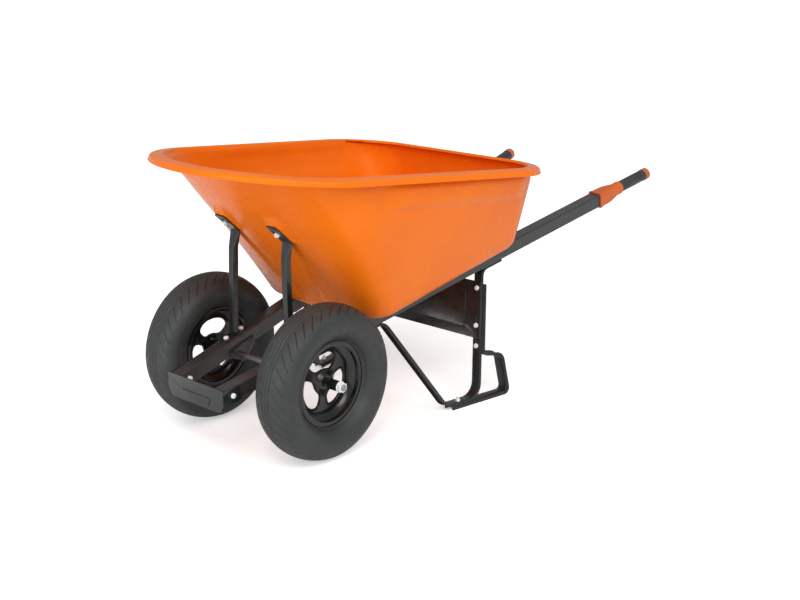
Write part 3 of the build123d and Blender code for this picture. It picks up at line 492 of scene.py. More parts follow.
@dataclass(frozen=True)
class Floor:
    """The pale studio floor, which glows to the eye but casts no light of its own."""

    name: str
    colour: Colour
    glow: float = 0.42

    def material(self) -> bpy.types.Material:
        """Builds the material.

        Returns:
            The material.
        """
        recipe = Recipe(self.name)
        tone = recipe.ranged(recipe.noise(3, 2), (0.3, 0.7), (0, 1))
        colour = recipe.blend(tone, self.colour, tuple(c * 0.985 for c in self.colour))
        seen = recipe.add("ShaderNodeLightPath").outputs["Is Camera Ray"]
        glow = recipe.ranged(seen, (0, 1), (0, self.glow))
        light = {"Emission_Color": (1, 1, 1, 1), "Emission_Strength": glow}
        return recipe.finish(Base_Color=colour, Roughness=0.85, **light)


Finish = Moulded | Enamel | Rubber | Plated | Floor


@lru_cache(maxsize=None)
def made(finish: Finish) -> bpy.types.Material:
    """The one material of a finish."""
    return finish.material()


TRAY_ORANGE = Moulded(
    "tray_orange", (0.86, 0.175, 0.006), (0.8, 0.15, 0.005), 0.28,
    grain_depth=0.00002, ripple_depth=0.001, scuffs=0.02, specular=0.34, tint=(1.0, 0.62, 0.3),
)
COLLAR_ORANGE = Moulded("collar_orange", (0.66, 0.13, 0.018), (0.55, 0.1, 0.014), 0.45)
CAP_ORANGE = Moulded("cap_orange", (0.5, 0.14, 0.045), (0.42, 0.11, 0.035), 0.45)
NYLON = Moulded("bush_nylon", (0.05, 0.05, 0.05), (0.03, 0.03, 0.03), 0.5)
CAP_BLACK = Moulded("valve_cap_black", (0.02, 0.02, 0.02), (0.03, 0.03, 0.03), 0.5)
RAIL_BLACK = Enamel("rail_black", (0.03, 0.031, 0.03), roughness=0.32, dusting=0.12)
FRAME_BLACK = Enamel("frame_black", (0.012, 0.0145, 0.0145), roughness=0.27, dusting=0.12)
WHEEL_BLACK = Enamel("wheel_black", (0.008, 0.009, 0.009), roughness=0.16, dusting=0.04, coat=0.05)
TYRE_RUBBER = Rubber("tyre_rubber", (0.026, 0.03, 0.03), (0.036, 0.041, 0.041), 0.52)
TUBE_RUBBER = Rubber("tube_rubber", (0.018, 0.018, 0.018), (0.03, 0.03, 0.03), 0.45)
GRIP_RUBBER = Rubber("grip_rubber", (0.026, 0.028, 0.032), (0.042, 0.045, 0.05), 0.42, 1800.0)
ZINC = Plated("bright_zinc", (0.27, 0.28, 0.29), (0.1, 0.107, 0.112), 0.34)
AXLE_STEEL = Plated("axle_steel", (0.4, 0.41, 0.42), (0.26, 0.26, 0.27), 0.38)
FLOOR = Floor("studio_floor", (0.95, 0.95, 0.95))


# Geometry Nodes trees


class GeometryTree(NodeWriter):
    """A geometry tree with named inputs, built node by node."""

    def __init__(self, name: str) -> None:
        """Starts a tree of this name with one geometry input and one geometry output.

        Args:
            name: the tree's name.
        """
        super().__init__(bpy.data.node_groups.new(name, "GeometryNodeTree"))
        for way in ("INPUT", "OUTPUT"):
            self.tree.interface.new_socket("Geometry", in_out=way, socket_type="NodeSocketGeometry")
        self.entry = self.add("NodeGroupInput")
        self.exit = self.add("NodeGroupOutput")

    def input(self, name: str, kind: str, default: Any = None) -> None:
        """Adds a named input.

        Args:
            name: the input's name.
            kind: the socket's type name.
            default: an optional value.
        """
        socket = self.tree.interface.new_socket(name, in_out="INPUT", socket_type=kind)
        if default is not None:
            socket.default_value = default

    def close(self, instances: Socket, weld: float = 0.0) -> None:
        """Realizes the instances, merges what touches, sets the material and ends the tree.

        Args:
            instances: the instances' output socket.
            weld: vertices nearer than this are merged, and 0 merges none.
        """
        last = self.add("GeometryNodeRealizeInstances", {"Geometry": instances})
        if weld:
            last = self.add("GeometryNodeMergeByDistance", {"Geometry": last.outputs[0], "Distance": weld})
        inputs = {"Geometry": last.outputs[0], "Material": self.entry.outputs["Finish"]}
        painted = self.add("GeometryNodeSetMaterial", inputs)
        self.tree.links.new(painted.outputs[0], self.exit.inputs[0])

    def applied(self, source: bpy.types.Object, name: str, **values: Any) -> bpy.types.Object:
        """Runs the tree on an object and keeps the result as a plain mesh.

        Args:
            source: the object whose mesh goes in. It is removed.
            name: the new object's name.
            values: a value for each named input.

        Returns:
            The new object.
        """
        modifier = source.modifiers.new(self.tree.name, "NODES")
        modifier.node_group = self.tree
        for item in self.tree.interface.items_tree:
            if item.in_out == "INPUT" and item.name in values:
                modifier[item.identifier] = values[item.name]
        mesh = evaluated(source)
        mesh.shade_smooth()
        return new_object(name, mesh)


def ring_tree() -> GeometryTree:
    """A tree that repeats a segment round the Y axis and welds the copies together.

    Returns:
        The tree.
    """
    tree = GeometryTree("repeat_round_axle")
    tree.input("Count", "NodeSocketInt", 12)
    tree.input("Finish", "NodeSocketMaterial")
    line = tree.add("GeometryNodeMeshLine", {"Count": tree.entry.outputs["Count"], "Offset": (0, 0, 0)})
    index = tree.add("GeometryNodeInputIndex").outputs[0]
    step = tree.add("ShaderNodeMath", {0: TURN, 1: tree.entry.outputs["Count"]}, operation="DIVIDE")
    angle = tree.add("ShaderNodeMath", {0: index, 1: step.outputs[0]}, operation="MULTIPLY")
    turn = tree.add("ShaderNodeCombineXYZ", {"Y": angle.outputs[0]})
    inputs = {
        "Points": line.outputs[0],
        "Instance": tree.entry.outputs["Geometry"],
        "Rotation": turn.outputs[0],
    }
    copies = tree.add("GeometryNodeInstanceOnPoints", inputs)
    tree.close(copies.outputs[0], WELD)
    return tree


def scatter_tree() -> GeometryTree:
    """A tree that puts one piece on each point, turned by the point's own turn.

    Returns:
        The tree.
    """
    tree = GeometryTree("piece_on_points")
    tree.input("Piece", "NodeSocketObject")
    tree.input("Finish", "NodeSocketMaterial")
    piece = tree.add("GeometryNodeObjectInfo", {"Object": tree.entry.outputs["Piece"]})
    turn = tree.add("GeometryNodeInputNamedAttribute", {"Name": "turn"}, data_type="FLOAT_VECTOR")
    inputs = {
        "Points": tree.entry.outputs["Geometry"],
        "Instance": piece.outputs["Geometry"],
        "Rotation": turn.outputs["Attribute"],
    }
    copies = tree.add("GeometryNodeInstanceOnPoints", inputs)
    tree.close(copies.outputs[0])
    return tree


@dataclass
class Workshop:
    """The trees that the sub-assemblies share."""

    ring: GeometryTree = field(default_factory=ring_tree)
    scatter: GeometryTree = field(default_factory=scatter_tree)

    def repeat(
        self, name: str, piece: bpy.types.Object, spots: Sequence[Matrix], finish: Finish
    ) -> bpy.types.Object:
        """Copies a piece to each spot and removes the pattern piece.

        Args:
            name: the result's name.
            piece: the pattern piece, at the origin.
            spots: a place and a turn for each copy.
            finish: the finish of them all.

        Returns:
            One mesh of all the copies.
        """
        mesh = bpy.data.meshes.new(name + "_points")
        mesh.from_pydata([tuple(spot.translation) for spot in spots], [], [])
        turns = mesh.attributes.new("turn", "FLOAT_VECTOR", "POINT")
        for item, spot in zip(turns.data, spots):
            item.vector = tuple(spot.to_euler())
        points = new_object(name + "_points", mesh)
        result = self.scatter.applied(points, name, Piece=piece, Finish=made(finish))
        bpy.data.objects.remove(piece)
        return result


def pointing(spot: Vector, axis: Vector) -> Matrix:
    """A placement at spot whose Z axis lies along axis."""
    return Matrix.Translation(spot) @ axis.to_track_quat("Z", "Y").to_matrix().to_4x4()


# The tray


@dataclass(frozen=True)
class Outline:
    """One level outline of the tray, in millimetres: a bowed nose, spreading sides and a straight rear."""

    nose_x: float
    bow: float
    front_r: float
    side_y0: float
    side_spread: float
    rear_r: float
    rear_x: float
    height: float
    slope: float

    def arcs(self, inset: float) -> tuple[float, ...]:
        """Centres and radii of the nose, front corner and rear corner arcs, moved inwards by inset.

        Args:
            inset: how far the outline is moved inwards.

        Returns:
            The nose's centre and radius, then x, y and radius of each corner.
        """
        stretch = math.hypot(1, self.slope)
        lean = math.hypot(1, self.side_spread)
        front_x = self.nose_x * stretch - self.bow - self.front_r
        front_y = self.side_y0 - self.side_spread * front_x - self.front_r * lean
        bow_r = self.front_r + self.bow / 2 + front_y**2 / (2 * self.bow)
        rear_x = self.rear_x * stretch + self.rear_r
        rear_y = self.side_y0 - self.side_spread * rear_x - self.rear_r * lean
        bow_x = self.nose_x * stretch - bow_r
        front_r, rear_r = self.front_r - inset, self.rear_r - inset
        return bow_x, bow_r - inset, front_x, front_y, front_r, rear_x, rear_y, rear_r

    def half(self, inset: float, counts: Sequence[int]) -> list[Pair]:
        """Level points of the left half, from the nose's middle round to the rear's middle.

        Args:
            inset: how far the outline is moved inwards.
            counts: how many steps the nose, corner, side, rear corner and rear take.

        Returns:
            (along, across) pairs, the first and last on the middle line.
        """
        bow_x, bow, fx, fy, front, rx, ry, rear = self.arcs(inset)
        nose_turn = math.atan2(fy, fx - bow_x)
        side_turn = math.atan2(1, self.side_spread)
        points = arc_points(bow_x, 0, bow, 0, nose_turn, counts[0])
        points += arc_points(fx, fy, front, nose_turn, side_turn, counts[1])
        across = (math.cos(side_turn), math.sin(side_turn))
        start = (fx + front * across[0], fy + front * across[1])
        end = (rx + rear * across[0], ry + rear * across[1])
        points += line_points(start, end, counts[2])
        points += arc_points(rx, ry, rear, side_turn, math.pi, counts[3])
        corner = (rx - rear, ry)
        points += line_points(corner, (corner[0], 0.0), counts[4])
        return points + [(corner[0], 0.0)]

    def ring(self, inset: float, counts: Sequence[int]) -> list[Vector]:
        """The whole outline on its sloping level, in millimetres from under the axle.

        Args:
            inset: how far the outline is moved inwards.
            counts: the steps that half takes.

        Returns:
            The outline's points.
        """
        left = self.half(inset, counts)
        flat = left + [(x, -y) for x, y in reversed(left[1:-1])]
        stretch = math.hypot(1, self.slope)
        return [Vector((x / stretch, y, self.height + self.slope * x / stretch)) for x, y in flat]


def arc_points(x: float, y: float, r: float, start: float, end: float, count: int) -> list[Pair]:
    """Count points along an arc, without its end."""
    turns = [start + (end - start) * i / count for i in range(count)]
    return [(x + r * math.cos(t), y + r * math.sin(t)) for t in turns]


def line_points(a: Pair, b: Pair, count: int) -> list[Pair]:
    """Count points along a line, without its end."""
    return [(a[0] + (b[0] - a[0]) * i / count, a[1] + (b[1] - a[1]) * i / count) for i in range(count)]


RAIL_RISE = 0.2
RAIL_SPREAD = 0.114
AXLE_X = 603.984
RAIL_AXIS_Z = 240.2
RAIL_AXIS_Y = 108.9
RAIL_HALF = 20.0
RAIL_TOP_Z = RAIL_AXIS_Z + RAIL_HALF * math.hypot(1, RAIL_RISE)

# Where the side ridges start and end along the tray, and the front creases up its wall
RIDGE_REAR = (-700.0, -640.0)
RIDGE_FRONT = (-190.0, -110.0)
CREASE_FOOT = (300.0, 350.0)
CREASE_TOP = (575.0, 640.0)
CREASE_Y = 46.0
CREASE_Z = 341.0
CREASE_SPREAD = 0.245
GROOVE_DEPTH = 4.2
GROOVE_REACH = 15.0

# Shares of the wall's height: where its rings close up for the side ridge, and where the lip takes over
RIDGE_SHARE = 0.66
WALL_END = 0.95

# The flat that each brace's tab lies on
TAB_ANGLE = math.radians(42)
TAB_FOOT = (-1.0, 97.0, 547.0)
TAB_RUN = (1.0, 77.0)
TAB_HALF = 21.0


def in_frame(point: Vector) -> Vector:
    """A point given in millimetres from under the axle, in metres in the frame."""
    return Vector((point.x + AXLE_X, point.y, point.z)) * MM


@dataclass
class Tray:
    """The moulded tub with its rolled lip, side ridges and creased front wall."""

    floor: Outline = Outline(-204, 10, 62, 207, 0.06, 66, -792, RAIL_TOP_Z, -RAIL_RISE)
    middle: Outline = Outline(34, 48, 128, 290, 0.06, 128, -796, 578, -0.04)
    rim: Outline = Outline(235, 30, 250, 343, 0.07, 186, -811, 738, 0.1)
    wall: float = 5.0
    floor_r: float = 34.0
    lip_width: float = 36.0
    wall_top: float = 22.0
    mid_share: float = 0.5
    ridge_drop: float = 86.0
    ridge_step: float = 7.5
    crease_depth: float = 4.0
    counts: tuple[int, ...] = (56, 58, 100, 44, 34)

    def wall_curve(self, inset: float) -> Callable[[int, float], Vector]:
        """The wall's surface: a column's number and a share of the height give a point.

        Args:
            inset: how far the wall is inside the outer one.

        Returns:
            The rule.
        """
        low = self.floor.ring(inset, self.counts)
        mid = self.middle.ring(inset, self.counts)
        top = self.rim.ring(inset + self.wall_top, self.counts)
        normals = level_normals(top)
        m = self.mid_share

        def at(column: int, v: float) -> Vector:
            """The point of a column at a share of the height."""
            a = (v - m) * (v - 1) / m
            b = v * (v - 1) / (m * (m - 1))
            c = v * (v - m) / (1 - m)
            point = low[column] * a + mid[column] * b + top[column] * c
            return point - normals[column] * (self.lip_width - self.wall_top) * smoothstep(0.5, 1.0, v)

        return at

    def relief(self, point: Vector, outwards: Vector, share: float) -> Vector:
        """Adds the side ridge and the front creases to a point of the wall.

        Args:
            point: the point, in millimetres.
            outwards: the level direction out of the wall there.
            share: how much of the side ridge shows.

        Returns:
            The moved point.
        """
        drop = self.rim.height + self.rim.slope * point.x - point.z
        along = smoothstep(*RIDGE_REAR, point.x) * (1 - smoothstep(*RIDGE_FRONT, point.x))
        sides = smoothstep(0.9, 0.98, abs(outwards.y))
        above = 1 - smoothstep(self.ridge_drop - 4, self.ridge_drop + 4, drop)
        step = self.ridge_step * share * along * sides * above * smoothstep(16, 40, drop)
        line = CREASE_Y + CREASE_SPREAD * (point.z - CREASE_Z)
        front = smoothstep(0.8, 0.95, outwards.x) * smoothstep(*CREASE_FOOT, point.z)
        front *= 1 - smoothstep(*CREASE_TOP, point.z)
        dip = self.crease_depth * (1 - smoothstep(line - 9, line + 5, abs(point.y)))
        groove = GROOVE_DEPTH * bump_at(line - 1, GROOVE_REACH, abs(point.y))
        return point + outwards * (step - (dip + groove) * front)

    def seated(self, point: Vector) -> Vector:
        """Flattens the wall where a brace's tab lies on it.

        Args:
            point: a point of the wall.

        Returns:
            The moved point.
        """
        up = Vector((math.cos(TAB_ANGLE), 0, math.sin(TAB_ANGLE)))
        out = Vector((math.sin(TAB_ANGLE), 0, -math.cos(TAB_ANGLE)))
        x, y, z = TAB_FOOT
        local = point - Vector((x, math.copysign(y, point.y), z))
        u, w = local.dot(up), local.dot(out)
        hold = bump_box(u, *TAB_RUN, 5) * bump_box(local.y, -TAB_HALF, TAB_HALF, 4)
        return point - out * (w * hold if abs(w) < 20 else 0)

    def levels(self, low: int, high: int) -> list[float]:
        """Shares up the wall from 0 to 1, closer together round the side ridge."""
        lower = [RIDGE_SHARE * i / low for i in range(low)]
        return lower + [RIDGE_SHARE + (1 - RIDGE_SHARE) * i / high for i in range(high)]

    def skin(self, inset: float, fillet_r: float, lift: float, low: int, high: int) -> list[list[Vector]]:
        """Rings of one skin of the tub, from the floor's middle up to under the lip.

        Args:
            inset: how far the skin is inside the outer one.
            fillet_r: the radius between floor and wall.
            lift: how far its floor is above the outer one.
            low: rings on the wall below the ridge.
            high: rings above it.

        Returns:
            Rings of points in millimetres.
        """
        at = self.wall_curve(inset)
        floor = self.floor.ring(inset, self.counts)
        raised = Vector((0, 0, lift))
        middle = sum(floor, Vector()) / len(floor) + raised
        normals = level_normals(self.rim.ring(0, self.counts))
        inner, bends, walls = ([[] for _ in range(count)] for count in (6, 7, low + high))
        for j, edge in enumerate(floor):
            corner = edge + raised
            inwards = -normals[j]
            level = Vector((inwards.x, inwards.y, self.floor.slope * inwards.x)).normalized()
            climb = (at(j, 0.1) - at(j, 0.0)).normalized()
            opening = level.angle(climb)
            reach = fillet_r / math.tan(opening / 2)
            height = (at(j, 0.1) - at(j, 0.0)).length / 0.1
            start_v = (reach + lift * 0.9) / height
            start, end = corner + level * reach, at(j, start_v)
            for k, ring in enumerate(inner):
                ring.append(mix(middle, start, (k + 0.35) / len(inner)))
            weight = math.sin(opening / 2)
            for k, ring in enumerate(bends):
                t = k / len(bends)
                a, b, c = (1 - t) ** 2, 2 * t * (1 - t) * weight, t * t
                ring.append((start * a + corner * b + end * c) / (a + b + c))
            for ring, share in zip(walls, self.levels(low, high)):
                v = start_v + (WALL_END - start_v) * share
                point = self.relief(at(j, v), normals[j], 1.0 if inset == 0 else 0.3)
                ring.append(self.seated(point) if inset == 0 else point)
        return inner + bends + walls

    def lip(self) -> list[list[Vector]]:
        """Rings over the lip, from the inner wall's top round to the outer wall's top.

        Returns:
            Rings of points in millimetres.
        """
        w = self.lip_width
        section = [
            (w + 4.6, -9), (w + 4.1, -4.8), (w + 2.6, -1.8), (w + 0.2, -0.3), (w - 3, 0), (w - 6, -0.5),
            (w - 8, -1.6), (w - 14, -1.9), (12.5, -2.3), (8.4, -3), (5.4, -4.8), (3.4, -7.4), (2.4, -10),
            (2, -12.6), (2, -14.2), (1.1, -14.9), (0.2, -15.8), (0, -17), (0.3, -18.1), (1.2, -18.9),
            (2.6, -19), (3.9, -18.5), (4.7, -16.5), (5.2, -12), (7, -8.6), (10, -6.4), (14, -5.8),
            (w - 3, -5.6), (w - 0.7, -6.8), (w + 0.2, -10),
        ]
        up = Vector((-self.rim.slope, 0, 1)).normalized()
        return [[point + up * h for point in self.rim.ring(inset, self.counts)] for inset, h in section]

    def build(self) -> None:
        """Makes the tray."""
        inner = self.skin(self.wall, self.floor_r - self.wall, self.wall, 18, 18)
        outer = self.skin(0, self.floor_r, 0, 26, 26)
        rings = inner + self.lip() + outer[::-1]
        rows = [[in_frame(point) for point in ring] for ring in rings]
        piece = shell_from_rows("moulded_tray", rows)
        piece.data.materials.append(made(TRAY_ORANGE))
        dressed(piece, Body.CHASSIS, "tray", "tray")


def bump_box(value: float, low: float, high: float, margin: float) -> float:
    """1 between low and high, falling to 0 a margin outside them."""
    return smoothstep(low - margin, low, value) * (1 - smoothstep(high, high + margin, value))


def level_normals(ring: Sequence[Vector]) -> list[Vector]:
    """The level outward direction at each point of a closed outline that runs anticlockwise.

    Args:
        ring: the outline's points.

    Returns:
        A direction for each point.
    """
    normals = []
    for j, _ in enumerate(ring):
        along = ring[(j + 1) % len(ring)] - ring[j - 1]
        normals.append(Vector((along.y, -along.x, 0)).normalized())
    return normals


# Wheels


@dataclass
class Wheel:
    """One wheel: a treaded tyre on a pressed steel rim, with its hub."""

    side: Side
    workshop: Workshop
    axle_y: float = 0.2155
    axle_z: float = 0.203
    pitches: int = 38
    shares: tuple[float, ...] = (0, 0.14, 0.28, 0.4, 0.43, 0.46, 0.5, 0.54, 0.57, 0.6, 0.72, 0.86, 1)

    def mount(self, piece: bpy.types.Object) -> bpy.types.Object:
        """Moves a piece made round the origin to its end of the axle, and tidies it.

        Args:
            piece: a tyre or a rim.

        Returns:
            The same piece.
        """
        spot = Vector((AXLE_X * MM, self.side.value * self.axle_y, self.axle_z))
        piece.data.transform(Matrix.Translation(spot) @ Matrix.Diagonal((1, self.side.value, 1, 1)))
        tidy_mesh(piece.data, WELD)
        return piece

    def carcass(self) -> list[tuple[float, float, bool]]:
        """The tyre's closed section as (radius, across, whether it is tread), in millimetres.

        Returns:
            The section's corners.
        """
        bulge, shoulder, crown = (157.5, 58.0), (192.0, 44.0), (203.0, 0.0)
        bead = [(101.8, 20.0), (101.8, 26.2), (113.0, 26.2)]
        wall = three_point_arc((117.0, 31.2), bulge, shoulder, 20)
        top = three_point_arc(shoulder, crown, (shoulder[0], -shoulder[1]), 64)
        outer = bead + wall + top + flipped(bead + wall)
        cavity = [(183.0, 37.7), (157.5, 49.0), (124.0, 23.0)]
        inside = flipped(cavity) + [(193.0, 0.0)] + cavity
        section = [(r, y, r > 180) for r, y in outer]
        return section + [(r, y, False) for r, y in inside]

    def cut(self, across: float, share: float) -> float:
        """How deep the tread is cut at a place on the tyre.

        Args:
            across: the distance from the middle, in millimetres.
            share: the place in the pitch, from 0 to 1.

        Returns:
            The depth in millimetres.
        """
        reach = abs(across)
        centre = max(bump_box(reach, 0, 0.9, 0.7), bump_box(reach, 9.4, 12, 0.8))
        bar = bump_box(share, 0.46, 0.54, 0.03)
        fade = smoothstep(17, 19.5, reach) * (1 - smoothstep(45, 51, reach))
        tie = 1 - 0.55 * bump_box(reach, 30, 33, 2)
        return max(4.8 * centre, 5.2 * bar * fade * tie)

    def build_tyre(self) -> None:
        """Makes the tyre from one pitch of its tread, repeated round the axle."""
        section = self.carcass()
        pitch = TURN / self.pitches
        points = []
        for share in self.shares:
            for radius, across, tread in section:
                reach = abs(across)
                skew = pitch * 1.35 * (max(0.0, reach - 12) / 38) ** 1.3
                angle = pitch * share + skew
                outward = radius - (self.cut(across, share) if tread else 0.0)
                ring = 0.9 * bump_at(122, 2.2, radius) + 0.5 * bump_at(168, 2.5, radius)
                y = across + math.copysign(ring if reach > 26 else 0.0, across)
                points.append(Vector((outward * math.sin(angle), y, outward * math.cos(angle))) * MM)
        pattern = mesh_object("tread_pitch", points, lattice(len(self.shares), len(section), False))
        name = self.side.node("treaded_tyre")
        piece = self.workshop.ring.applied(pattern, name, Count=self.pitches, Finish=made(TYRE_RUBBER))
        dressed(self.mount(piece), Body.wheel(self.side), "tyre", self.side.node("tyre"))

    def dish(self, radius: float) -> float:
        """How far out the disc's face is at a radius, in millimetres."""
        radii, heights = zip(*DISC_FACE)
        return float(np.interp(radius, radii, heights))

    def window(self, grow: float) -> list[Pair]:
        """One window's outline as (angle, radius), widened all round by grow.

        Args:
            grow: how much wider it is, in millimetres.

        Returns:
            The outline's points.
        """
        points = []
        for i in range(WINDOW_SIDES):
            turn = TURN * i / WINDOW_SIDES
            c, s = math.cos(turn), math.sin(turn)
            angle = math.copysign(abs(c) ** 0.55, c) * (WINDOW_HALF_TURN + grow / WINDOW_MID_R)
            points.append((angle, WINDOW_MID_R + math.copysign(abs(s) ** 0.62, s) * (WINDOW_HALF + grow)))
        return points

    def window_lip(self, turn: float) -> bpy.types.Object:
        """The rolled edge of one window, centred at an angle from the top.

        Args:
            turn: the angle.

        Returns:
            The edge's mesh object.
        """
        rows = []
        for ring in zip(*(self.window(reach) for reach, _ in LIP_SECTION)):
            lifted = zip(ring, (lift for _, lift in LIP_SECTION))
            rows.append([polar(a + turn, r, self.dish(r) + lift) for (a, r), lift in lifted])
        return shell_from_rows("window_lip", rows, wrap_rows=True)

    def build_rim(self) -> None:
        """Makes the pressed wheel: a drop-centre barrel, a dished disc with three windows, and their lips."""
        half = [(112.0, 26.5), (102.0, 26.5), (101.5, 25.9), (101.5, 15.5), (84.6, 8.0), (84.0, 7.0)]
        face = [(81.5, 8.0), (82.4, 9.7), (98.9, 17.2), (98.9, 27.0), (99.2, 28.3), (100.4, 29.0)]
        face += [(111.3, 29.0), (112.3, 28.4), (112.4, 27.2)]
        section = half + flipped(half) + flipped(face) + face
        parts = [wheel_ring("barrel", section, 0.0)]
        disc_section = [*DISC_FACE] + [(r, y - DISC_SHEET) for r, y in reversed(DISC_FACE)]
        disc = wheel_ring("disc", disc_section, DISC_TURN)
        for index in range(3):
            turn = TURN * index / 3
            outline = self.window(0)
            rows = [[polar(a + turn, r, y) for a, r in outline] for y in (-40, 40)]
            disc = carved(disc, shell_from_rows("window", rows))
            parts.append(self.window_lip(turn))
        parts.append(disc)
        for part in parts:
            paint(part.data, WHEEL_BLACK)
        piece = self.mount(joined(parts, self.side.node("pressed_rim")))
        sharpen(piece, 40)
        dressed(piece, Body.wheel(self.side), "rim_steel", self.side.node("rim"))

    def build(self) -> None:
        """Makes the wheel."""
        body = Body.wheel(self.side)
        self.build_tyre()
        self.build_rim()
        softened(self.side.node("hub"), body, WHEEL_BLACK, "hub_steel", 0.5)


DISC_FACE = (
    (13.9, 9.6), (16.5, 9.6), (18.6, 9.0), (21.0, 7.2), (24.0, 3.8), (28.0, 0.4), (34.0, -2.4),
    (44.0, -4.6), (60.0, -5.8), (74.0, -5.6), (79.0, -4.6), (82.6, -3.4),
)
DISC_SHEET = 2.5

# A small turn that keeps the disc's edges off the window cutters' edges
DISC_TURN = 0.0131
LIP_SECTION = (
    (-0.2, -3.4), (-0.2, 2.2), (0.5, 3.2), (1.5, 3.4), (2.6, 2.6), (3.8, 0.8), (5, -0.4), (5, -2.2),
)
WHEEL_SIDES = 144
WINDOW_SIDES = 72
WINDOW_MID_R = 55.0
WINDOW_HALF = 22.0
WINDOW_HALF_TURN = math.radians(45)


def polar(angle: float, radius: float, across: float) -> Vector:
    """A point of a wheel in metres: angle from its top towards the front, radius and distance across."""
    return Vector((radius * math.sin(angle), across, radius * math.cos(angle))) * MM


def flipped(section: Sequence[Pair]) -> list[Pair]:
    """A section's other half, mirrored across the wheel and run backwards."""
    return [(r, -y) for r, y in reversed(section)]


def wheel_ring(name: str, section: Sequence[Pair], turn: float) -> bpy.types.Object:
    """A closed section of (radius, across) pairs, spun round the axle from an angle."""
    turns = [TURN * j / WHEEL_SIDES + turn for j in range(WHEEL_SIDES)]
    return shell_from_rows(name, [[polar(a, r, y) for a in turns] for r, y in section], wrap_rows=True)


def carved(piece: bpy.types.Object, cutter: bpy.types.Object) -> bpy.types.Object:
    """The piece with the cutter's volume taken out of it. Both objects are used up.

    Args:
        piece: what is cut.
        cutter: the volume to take out.

    Returns:
        The cut piece.
    """
    cut = piece.modifiers.new("cut", "BOOLEAN")
    cut.object = cutter
    cut.operation = "DIFFERENCE"
    name = piece.name
    mesh = evaluated(piece)
    bpy.data.objects.remove(cutter)
    return new_object(name, mesh)


def sharpen(piece: bpy.types.Object, angle: float) -> None:
    """Shades a piece smooth except over edges sharper than an angle in degrees."""
    piece.data.shade_smooth()
    piece.data.set_sharp_from_angle(angle=math.radians(angle))


def three_point_arc(a: Pair, b: Pair, c: Pair, steps: int) -> list[Pair]:
    """Points along the arc from a through b to c, without c.

    Args:
        a: its start.
        b: a point on it.
        c: its end.
        steps: how many points to give.

    Returns:
        The points.
    """
    d = 2 * (a[0] * (b[1] - c[1]) + b[0] * (c[1] - a[1]) + c[0] * (a[1] - b[1]))
    sq = [p[0] ** 2 + p[1] ** 2 for p in (a, b, c)]
    x = (sq[0] * (b[1] - c[1]) + sq[1] * (c[1] - a[1]) + sq[2] * (a[1] - b[1])) / d
    y = (sq[0] * (c[0] - b[0]) + sq[1] * (a[0] - c[0]) + sq[2] * (b[0] - a[0])) / d
    r = math.hypot(a[0] - x, a[1] - y)
    start, through, end = (math.atan2(p[1] - y, p[0] - x) for p in (a, b, c))
    sweep = (end - start) % TURN
    if (through - start) % TURN > sweep:
        sweep -= TURN
    return arc_points(x, y, r, start, start + sweep, steps)


# Steel pieces that keep the frame's shape, with their edges broken


def paint(mesh: bpy.types.Mesh, finish: Finish) -> None:
    """Gives a mesh one finish in place of any it had."""
    mesh.materials.clear()
    mesh.materials.append(made(finish))


def softened(node: str, body: Body, finish: Finish, slot: str, width: float) -> bpy.types.Object:
    """A copy of a CAD node with its sharp edges rounded, in its own finish.

    Args:
        node: the CAD node.
        body: the body that it rides on.
        finish: its finish.
        slot: its material slot.
        width: how wide the rounding is, in millimetres.

    Returns:
        The finished piece.
    """
    work = bmesh.new()
    work.from_mesh(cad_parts[node].data)
    bmesh.ops.remove_doubles(work, verts=work.verts, dist=WELD)
    bmesh.ops.dissolve_limit(work, angle_limit=math.radians(0.6), verts=work.verts, edges=work.edges)
    bmesh.ops.recalc_face_normals(work, faces=work.faces)
    mesh = bpy.data.meshes.new(node + "_soft")
    work.to_mesh(mesh)
    work.free()
    mesh.shade_smooth()
    raw = new_object(node + "_raw", mesh)
    bevel = raw.modifiers.new("edges", "BEVEL")
    bevel.width = width * MM
    bevel.segments = 2
    bevel.limit_method = "ANGLE"
    bevel.angle_limit = math.radians(28)
    bevel.use_clamp_overlap = True
    bevel.harden_normals = True
    rounded = evaluated(raw)
    paint(rounded, finish)
    return dressed(new_object(node + "_steel", rounded), body, slot, node)


def repaint(node: str, finish: Finish) -> None:
    """Gives a CAD node that is shown as it is its finish."""
    paint(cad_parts[node].data, finish)
    LOG.info("%s keeps its frame shape", node)


# Fasteners


@dataclass(frozen=True)
class Spot:
    """Where one fastener is: its low end, its axis towards the head, its length and its head's start."""

    foot: Vector
    axis: Vector
    length: float
    head_start: float


def spots_of(node: str) -> list[Spot]:
    """Finds the separate fasteners of a CAD node.

    Args:
        node: a node that groups alike fasteners.

    Returns:
        One spot for each, in the frame.
    """
    work = bmesh.new()
    work.from_mesh(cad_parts[node].data)
    bmesh.ops.remove_doubles(work, verts=work.verts, dist=WELD)
    work.verts.index_update()
    work.faces.index_update()
    left = set(work.verts)
    found = []
    for seed in work.verts:
        if seed in left:
            group = linked(seed)
            left -= group
            found.append(measured(group))
    work.free()
    return sorted(found, key=lambda spot: tuple(round(c, 4) for c in spot.foot))


def linked(seed: bmesh.types.BMVert) -> set[bmesh.types.BMVert]:
    """All vertices joined to one.

    Args:
        seed: the vertex to start from.

    Returns:
        The vertices, with the seed.
    """
    group, edge = {seed}, [seed]
    while edge:
        vert = edge.pop()
        for link in vert.link_edges:
            other = link.other_vert(vert)
            if other not in group:
                group.add(other)
                edge.append(other)
    return group


